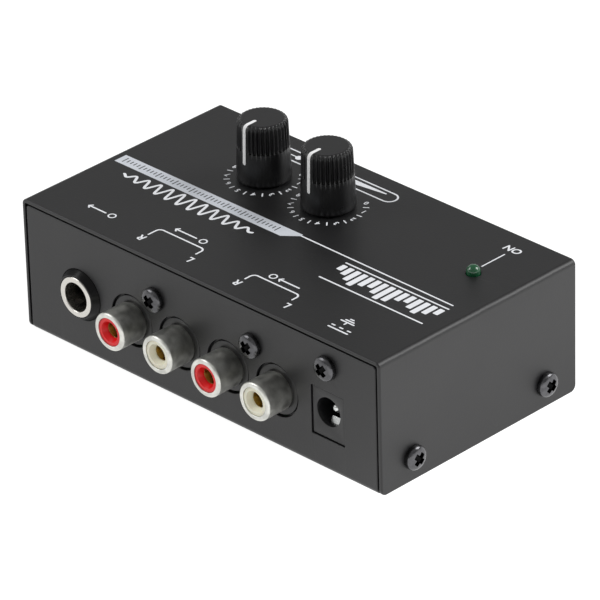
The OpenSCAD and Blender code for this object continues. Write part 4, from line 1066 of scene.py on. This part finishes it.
class PREAMP_OT_power_socket(bpy.types.Operator):
    """Power socket: square housing with its bore, the centre pin and the leaf spring"""
    bl_idname = "preamp.power_socket"
    bl_label = "Power socket"

    def execute(self, context):
        s = sizes("preamp_sockets")
        low, high = box_mm("power_jack_body")
        at = mounts_mm("power_pin")[0]
        face = high[1]
        spring = box_mm("power_jack_spring")
        outline = rectangle(low[0], low[2], high[0], high[2], POWER_CORNER)
        lip = 0.15
        body = plate(outline, (), face - low[1], s.power_edge, 0, 0.3,
                     [circle(at[0], at[2], s.power_bore + lip, ROUND)])
        floor = face - s.power_depth
        slot = (QUARTER, s.power_slot, at[2] - spring[0][2], floor + 0.01, face - s.power_slot_start)
        marks = [face - s.power_slot_start + 0.004, face - s.power_slot_start - 0.004, floor + 0.02]
        line = np.r_[[(s.power_bore + lip, face), (s.power_bore + 0.3 * lip, face - 0.3 * lip)],
                     [(s.power_bore, face - lip)], [(s.power_bore, y) for y in marks],
                     [(s.power_bore, floor), (0, floor)]]
        bore = placed(lathe(line, ROUND, slotted(slot)), (at[0], 0, at[2]), "+y")
        piece("power_housing", join(upright(body, face), bore), material("moulded black PBT"), "case",
              ["power_jack_body"])
        tip = box_mm("power_jack_pin")[1][1]
        arc = np.linspace(0, QUARTER, 13)
        line = [(0, low[1]), (s.pin_collar, low[1]), (s.pin_collar, floor + 0.1),
                (s.pin_collar - 0.05, floor + 0.15), (s.pin_r, floor + 0.15)]
        line += [(s.pin_r * math.cos(t), tip - s.pin_r + s.pin_r * math.sin(t)) for t in arc]
        pin = placed(lathe(line, COARSE), (at[0], 0, at[2]), "+y")
        bright = material("tinned copper")
        piece("power_pin", pin, bright, "case", ["power_jack_pin"])
        y, z = face, spring[0][2]
        bends = [(-9.9, 0, 0), (-2.0, 0, 0.5), (-1.4, 0.4, 0.2), (-2.3, 2.3, 0.12), (-2.65, 2.15, 0.12),
                 (-1.95, 0.7, 0.2), (-2.4, 0.4, 0.4), (-9.9, 0.4, 0)]
        outline = rounded([(y + a, z + b, r) for a, b, r in bends], True, 5)
        wide = spring[1][0] - spring[0][0]
        leaf = plate(outline, (), wide, s.leaf_edge, 0, s.leaf_edge, steps=3)
        leaf = mapped(leaf, spring[1][0] - leaf[0][:, 2], leaf[0][:, 0], leaf[0][:, 1])
        piece("power_leaf", leaf, bright, "case", ["power_jack_spring"], weighted=True)
        return {"FINISHED"}


class PREAMP_OT_knobs(bpy.types.Operator):
    """Fluted knobs and their white pointers"""
    bl_idname = "preamp.knobs"
    bl_label = "Knobs"

    def execute(self, context):
        form = lathe(knob_profile(), FLUTE_POINTS * sizes("preamp_knobs").flutes, knob_form)
        bar = pointer_form()
        plastic = material("moulded black ABS")
        white = screen_ink("white pointer paint", sizes("preamp_colours").pointer)
        for dial in ("trim", "level"):
            low, high = box_mm(f"{dial}_knob")
            at = (*((low + high) / 2)[:2], low[2])
            body = f"{dial}_dial"
            piece(f"{dial}_fluted_knob", placed(form, at), plastic, body, [f"{dial}_knob"],
                  angle=50)
            piece(f"{dial}_white_bar", placed(bar, at), white, body, [f"{dial}_pointer"])
        return {"FINISHED"}


class PREAMP_OT_lamp(bpy.types.Operator):
    """Green lamp: an epoxy bead with a flange under the cover"""
    bl_idname = "preamp.lamp"
    bl_label = "Lamp"

    def execute(self, context):
        k = sizes("preamp_knobs")
        low, high = box_mm("led_lens")
        arc = np.linspace(0, QUARTER, 17)
        line = [(0, low[2]), (k.flange_r, low[2]), (k.flange_r, low[2] + k.flange_h),
                (k.lens_r, low[2] + k.flange_h)]
        line += [(k.lens_r * math.cos(t), high[2] - k.lens_r + k.lens_r * math.sin(t)) for t in arc]
        lens = placed(lathe(line, COARSE), (*((low + high) / 2)[:2], 0))
        piece("lamp_lens", lens, material("green epoxy lens"), "case", ["led_lens"])
        return {"FINISHED"}


class PREAMP_OT_marks(bpy.types.Operator):
    """Generic printed marks: dial numbers, brackets, arrows, a broad band and plain ornament"""
    bl_idname = "preamp.marks"
    bl_label = "Printed marks"

    def execute(self, context):
        p = sizes("preamp_print")
        white = screen_ink("white screen ink", sizes("preamp_colours").ink)
        self.scales(p, white)
        self.sockets(p, white)
        self.pills(p, white)
        self.band(p, white)
        self.ornaments(p, white)
        return {"FINISHED"}

    def scales(self, p, white):
        """Numbers 0 to 10 round each dial, with a tick between each two."""
        made = []
        for joint in frame["joints"]:
            if joint["type"] != "hinge":
                continue
            x, y = np.array(joint["pos_m"][:2]) / MM
            for k in range(11):
                turn = math.radians((k - 5) * p.step)
                made.append(characters(str(k), p.digit, x + p.scale_r * math.sin(turn),
                                       y + p.scale_r * math.cos(turn)))
            for k in range(10):
                turn = math.radians((k - 4.5) * p.step)
                way = np.array([math.sin(turn), math.cos(turn)])
                ends = [np.array([x, y]) + way * (p.scale_r + e * p.tick_len / 2) for e in (-1, 1)]
                made.append(stroke(ends, p.tick))
        piece("dial_scales", join(*made), white, "case")

    def sockets(self, p, white):
        """Brackets and channel letters by the sockets, and signs in place of words."""
        made = [bracket(*place) for place in BRACKETS]
        made += [characters(text, p.letter, x, y, LETTER_SLANT) for text, x, y in CHANNELS]
        for x, y, tail, reach in ARROWS:
            made += [ring_of_ink(x, y, ARROW_RING, p.fine), arrow(tail, y, reach, p.line)]
        made += [stroke([(x0, y), (x1, y)], p.line) for x0, x1, y in DIRECT_CURRENT]
        made.append(stroke([(GROUND_X, y) for y in GROUND_STEM], p.line))
        made += [stroke([(GROUND_X - w, y), (GROUND_X + w, y)], p.line) for w, y in GROUND_ROWS]
        made += [stroke(LAMP_LINE, p.fine), characters("ON", p.letter, *LAMP_TEXT, LAMP_SLANT)]
        piece("socket_marks", join(*made), white, "case")

    def pills(self, p, white):
        """Outlines with round ends in front of the dials: a wedge in one, a slider in the other."""
        made = []
        high, low = p.pill_high, p.pill_low
        radius, middle = (high - low) / 2 - 0.001, (high + low) / 2
        for joint in frame["joints"]:
            if joint["type"] == "hinge":
                x = joint["pos_m"][0] / MM
                ends = rectangle(x - p.pill_w / 2, low, x + p.pill_w / 2, high, radius, 12)
                made.append(stroke(ends, p.line, True))
        trim, level = (j["pos_m"][0] / MM for j in frame["joints"] if j["type"] == "hinge")
        made.append(patch_of_ink([(level - 5.4, middle - 0.9), (level + 5.4, middle - 0.9),
                                  (level + 5.4, middle + 1.0), (level - 5.4, middle - 0.55)]))
        made.append(stroke([(trim - 6.2, middle), (trim - 4.7, middle)], p.line))
        made.append(stroke([(trim + 4.7, middle), (trim + 6.2, middle)], p.line))
        made.append(stroke([(trim + 5.45, middle - 0.75), (trim + 5.45, middle + 0.75)], p.line))
        made.append(stroke([(trim - 3.2, middle), (trim + 3.2, middle)], p.fine))
        made.append(patch_of_ink(circle(trim + 0.6, middle, 0.85, 32)[::-1]))
        piece("dial_labels", join(*made), white, "case")

    def band(self, p, white):
        """Broad band with a slanting end that runs on as a thin line, and a ruled scale within it."""
        grey = screen_ink("grey-white screen ink", sizes("preamp_colours").band_ink)
        top_x, foot_x = BAND_SLANT
        outline = [(BAND_END, BAND_LOW), (BAND_END, BAND_HIGH), (top_x, BAND_HIGH),
                   (foot_x, BAND_LOW + 0.75), (foot_x, BAND_LOW)]
        piece("broad_band", patch_of_ink(outline), grey, "case")
        piece("thin_rule", stroke(RULE, RULE_WIDTH), white, "case")
        dark = screen_ink("black screen ink", linear("#3c3e43"))
        ticks = []
        top = box_mm("top_cover")[1][2]
        for k in range(SCALE_TICKS):
            tall = SCALE_SHORT if k % SCALE_EVERY else SCALE_LONG
            ends = [(SCALE_FIRST - k, SCALE_MIDDLE + e * tall, top + p.ink) for e in (-1, 1)]
            ticks.append(strip(ends, [(0, 0, 1), (0, 0, 1)], SCALE_HALF, p.ink / 2, p.ink))
        piece("band_scale", join(*ticks), dark, "case")

    def ornaments(self, p, white):
        """A plain swelling wave and a row of bars of different heights: signs of sound, and nobody's."""
        run = np.linspace(0, WAVE_RUN, 240)
        swell = np.sin(np.pi * np.minimum(run / WAVE_RUN, 1)) ** 0.6
        wave = np.c_[WAVE_FROM + run, WAVE_MIDDLE + WAVE_HEIGHT * swell * np.sin(run * WAVE_TURNS)]
        made = [stroke(wave, WAVE_WIDTH)]
        for k, tall in enumerate(BARS):
            x = BAR_FROM + k * BAR_PITCH
            bar = rectangle(x, BAR_FOOT, x + BAR_WIDTH, BAR_FOOT + BAR_SCALE * tall, 0.2, 3)
            made.append(patch_of_ink(bar))
        made += [stroke([(x0, y), (x1, y)], p.line) for x0, x1, y in BAR_RULES]
        piece("sound_ornament", join(*made), white, "case")


class PREAMP_OT_inside(bpy.types.Operator):
    """Finishes for the CAD pieces that stay as they are, most of them inside the case"""
    bl_idname = "preamp.inside"
    bl_label = "Inside"

    def execute(self, context):
        finishes = {
            "clear zinc plating": ["ground_nut", "board_standoffs", "board_screws", "pot_cases",
                                   "stereo_jack_tip_spring", "stereo_jack_ring_spring"],
            "tinned copper": ["ground_lug", "pot_terminals", "led_leads", "op_amp_pins", "resistor_leads",
                              "regulator_legs"],
            "moulded black PBT": ["led_spacer", "op_amps", "regulator"],
            "turned brass": ["pot_bushings", "trim_wiper", "level_wiper"],
            "green solder mask": ["circuit_board"],
            "brown paper laminate": ["pot_wafers"],
            "green PVC": ["ground_wire"],
            "natural acetal": ["trim_shaft", "level_shaft"],
            "shrunk blue sleeve": ["electrolytic_capacitors"],
            "dipped red epoxy": ["film_capacitors"],
            "blue resistor lacquer": ["resistors"]}
        for name, nodes in finishes.items():
            made = material(name)
            for node in nodes:
                mesh = frame["nodes"][node].data
                mesh.materials.clear()
                mesh.materials.append(made)
        return {"FINISHED"}


# The camera fitted to the photograph: its right, up and back directions, its place in millimetres and its
# shift in widths of the picture
CAMERA_AXES = ((-0.71245023, -0.70130904, -0.02408948), (0.32918838, -0.36434112, 0.87114325),
               (-0.61971742, 0.61271623, 0.4904377))
CAMERA_PLACE = (-731.97, 720.67, 590.87)
CAMERA_SHIFT = (-0.01347, 0.00632)
# Each soft box: its name, the direction it stands in and its share of the key light
SOFT_BOXES = (("box_by_end", (-0.49, -0.61, 0.62), 1.05), ("box_by_sockets", (0.62, 0.49, 0.61), 0.55))
# The floor's profile as (radius, height), in millimetres
FLOOR = ((0, 0), (400, 0), (1500, 0), (2600, 0), (3000, 40), (3300, 160), (3500, 360), (3600, 700))


class PREAMP_OT_stage(bpy.types.Operator):
    """White floor, two soft boxes, even grey light and the camera"""
    bl_idname = "preamp.stage"
    bl_label = "Stage"

    def execute(self, context):
        s = sizes("preamp_stage")
        self.floor(context, s)
        self.light(context, s)
        self.camera(context, s)
        context.scene.view_settings.view_transform = "Standard"
        return {"FINISHED"}

    def floor(self, context, s):
        """A wide shallow bowl, white to the camera and to reflections, and brighter beside the end plate."""
        mesh = to_mesh("studio_floor", lathe([(r, z - 0.05) for r, z in FLOOR]), MM)
        mesh.shade_smooth()
        floor = bpy.data.objects.new("studio_floor", mesh)
        context.scene.collection.objects.link(floor)
        made = bpy.data.materials.new("white studio floor")
        made.use_nodes = True
        tree = made.node_tree
        tree.nodes.clear()
        path = add(tree, "ShaderNodeLightPath")
        seen = add(tree, "ShaderNodeMath", {0: path.outputs["Is Camera Ray"],
                   1: path.outputs["Is Glossy Ray"]}, operation="MAXIMUM")
        seen = add(tree, "ShaderNodeMath", {0: seen.outputs[0], 1: path.outputs["Is Transmission Ray"]},
                   operation="MAXIMUM")
        paper = add(tree, "ShaderNodeBsdfDiffuse", {"Color": (0.8, 0.8, 0.8, 1)})
        faint = add(tree, "ShaderNodeBsdfDiffuse", {"Color": (0.25, 0.25, 0.25, 1)})
        across = add(tree, "ShaderNodeTexCoord").outputs["Object"]
        across = add(tree, "ShaderNodeSeparateXYZ", {"Vector": across}).outputs["X"]
        level = add(tree, "ShaderNodeMapRange", {"Value": across, "From Min": -0.07, "From Max": -0.02,
                    "To Min": s.floor_end, "To Max": s.floor_glow})
        glow = add(tree, "ShaderNodeEmission", {"Color": (1, 1, 1, 1), "Strength": level.outputs["Result"]})
        bright = add(tree, "ShaderNodeAddShader", {0: faint.outputs[0], 1: glow.outputs[0]})
        mix = add(tree, "ShaderNodeMixShader", {0: seen.outputs[0], 1: paper.outputs[0],
                  2: bright.outputs[0]})
        add(tree, "ShaderNodeOutputMaterial", {"Surface": mix.outputs[0]})
        mesh.materials.append(made)

    def light(self, context, s):
        """Even grey world light, and a square soft box on each side of the camera."""
        world = bpy.data.worlds.new("even grey light")
        world.use_nodes = True
        world.node_tree.nodes["Background"].inputs["Color"].default_value = (1, 1, 1, 1)
        world.node_tree.nodes["Background"].inputs["Strength"].default_value = s.fill
        context.scene.world = world
        side = s.box * MM
        for name, way, share in SOFT_BOXES:
            data = bpy.data.lights.new(name, "AREA")
            data.shape, data.size = "SQUARE", side
            data.energy = s.key * share * math.pi * side * side
            lamp = bpy.data.objects.new(name, data)
            context.scene.collection.objects.link(lamp)
            way = Vector(way).normalized()
            lamp.location = way * s.distance * MM + Vector((0, 0, 0.015))
            lamp.rotation_euler = way.to_track_quat("Z", "Y").to_euler()

    def camera(self, context, s):
        """Camera at the photograph's angle, worked out for a frame of 600 by 600."""
        data = bpy.data.cameras.new("studio_camera")
        data.sensor_width, data.lens = 36.0, s.lens
        data.shift_x, data.shift_y = CAMERA_SHIFT
        data.clip_start, data.clip_end = 0.05, 20
        camera = bpy.data.objects.new("studio_camera", data)
        context.scene.collection.objects.link(camera)
        turn = Matrix(CAMERA_AXES).transposed().to_4x4()
        camera.matrix_world = Matrix.Translation(Vector(CAMERA_PLACE) * MM) @ turn
        context.scene.camera = camera


STEPS = [PREAMP_OT_cover, PREAMP_OT_base, PREAMP_OT_screws, PREAMP_OT_phono_sockets,
         PREAMP_OT_stereo_socket, PREAMP_OT_power_socket, PREAMP_OT_knobs, PREAMP_OT_lamp, PREAMP_OT_marks,
         PREAMP_OT_inside, PREAMP_OT_stage]


class PREAMP_PT_panel(bpy.types.Panel):
    """Sizes, colours and steps of the preamp"""
    bl_label = "Phono preamp"
    bl_idname = "PREAMP_PT_panel"
    bl_space_type = "VIEW_3D"
    bl_region_type = "UI"
    bl_category = "Preamp"

    def draw(self, context):
        for name, kind in GROUPS.items():
            box = self.layout.box()
            box.label(text=kind.__doc__)
            for key in kind.__annotations__:
                box.prop(getattr(context.scene, name), key)
        for step in STEPS:
            self.layout.operator(step.bl_idname)


def register():
    for kind in [*GROUPS.values(), *STEPS, PREAMP_PT_panel]:
        bpy.utils.register_class(kind)
    for name, kind in GROUPS.items():
        setattr(bpy.types.Scene, name, bpy.props.PointerProperty(type=kind))


def unregister():
    for name in GROUPS:
        delattr(bpy.types.Scene, name)
    for kind in [PREAMP_PT_panel, *reversed(STEPS), *reversed(GROUPS.values())]:
        bpy.utils.unregister_class(kind)


def main():
    register()
    for step in STEPS:
        group, _, action = step.bl_idname.partition(".")
        getattr(getattr(bpy.ops, group), action)()


if __name__ == "__main__":
    main()
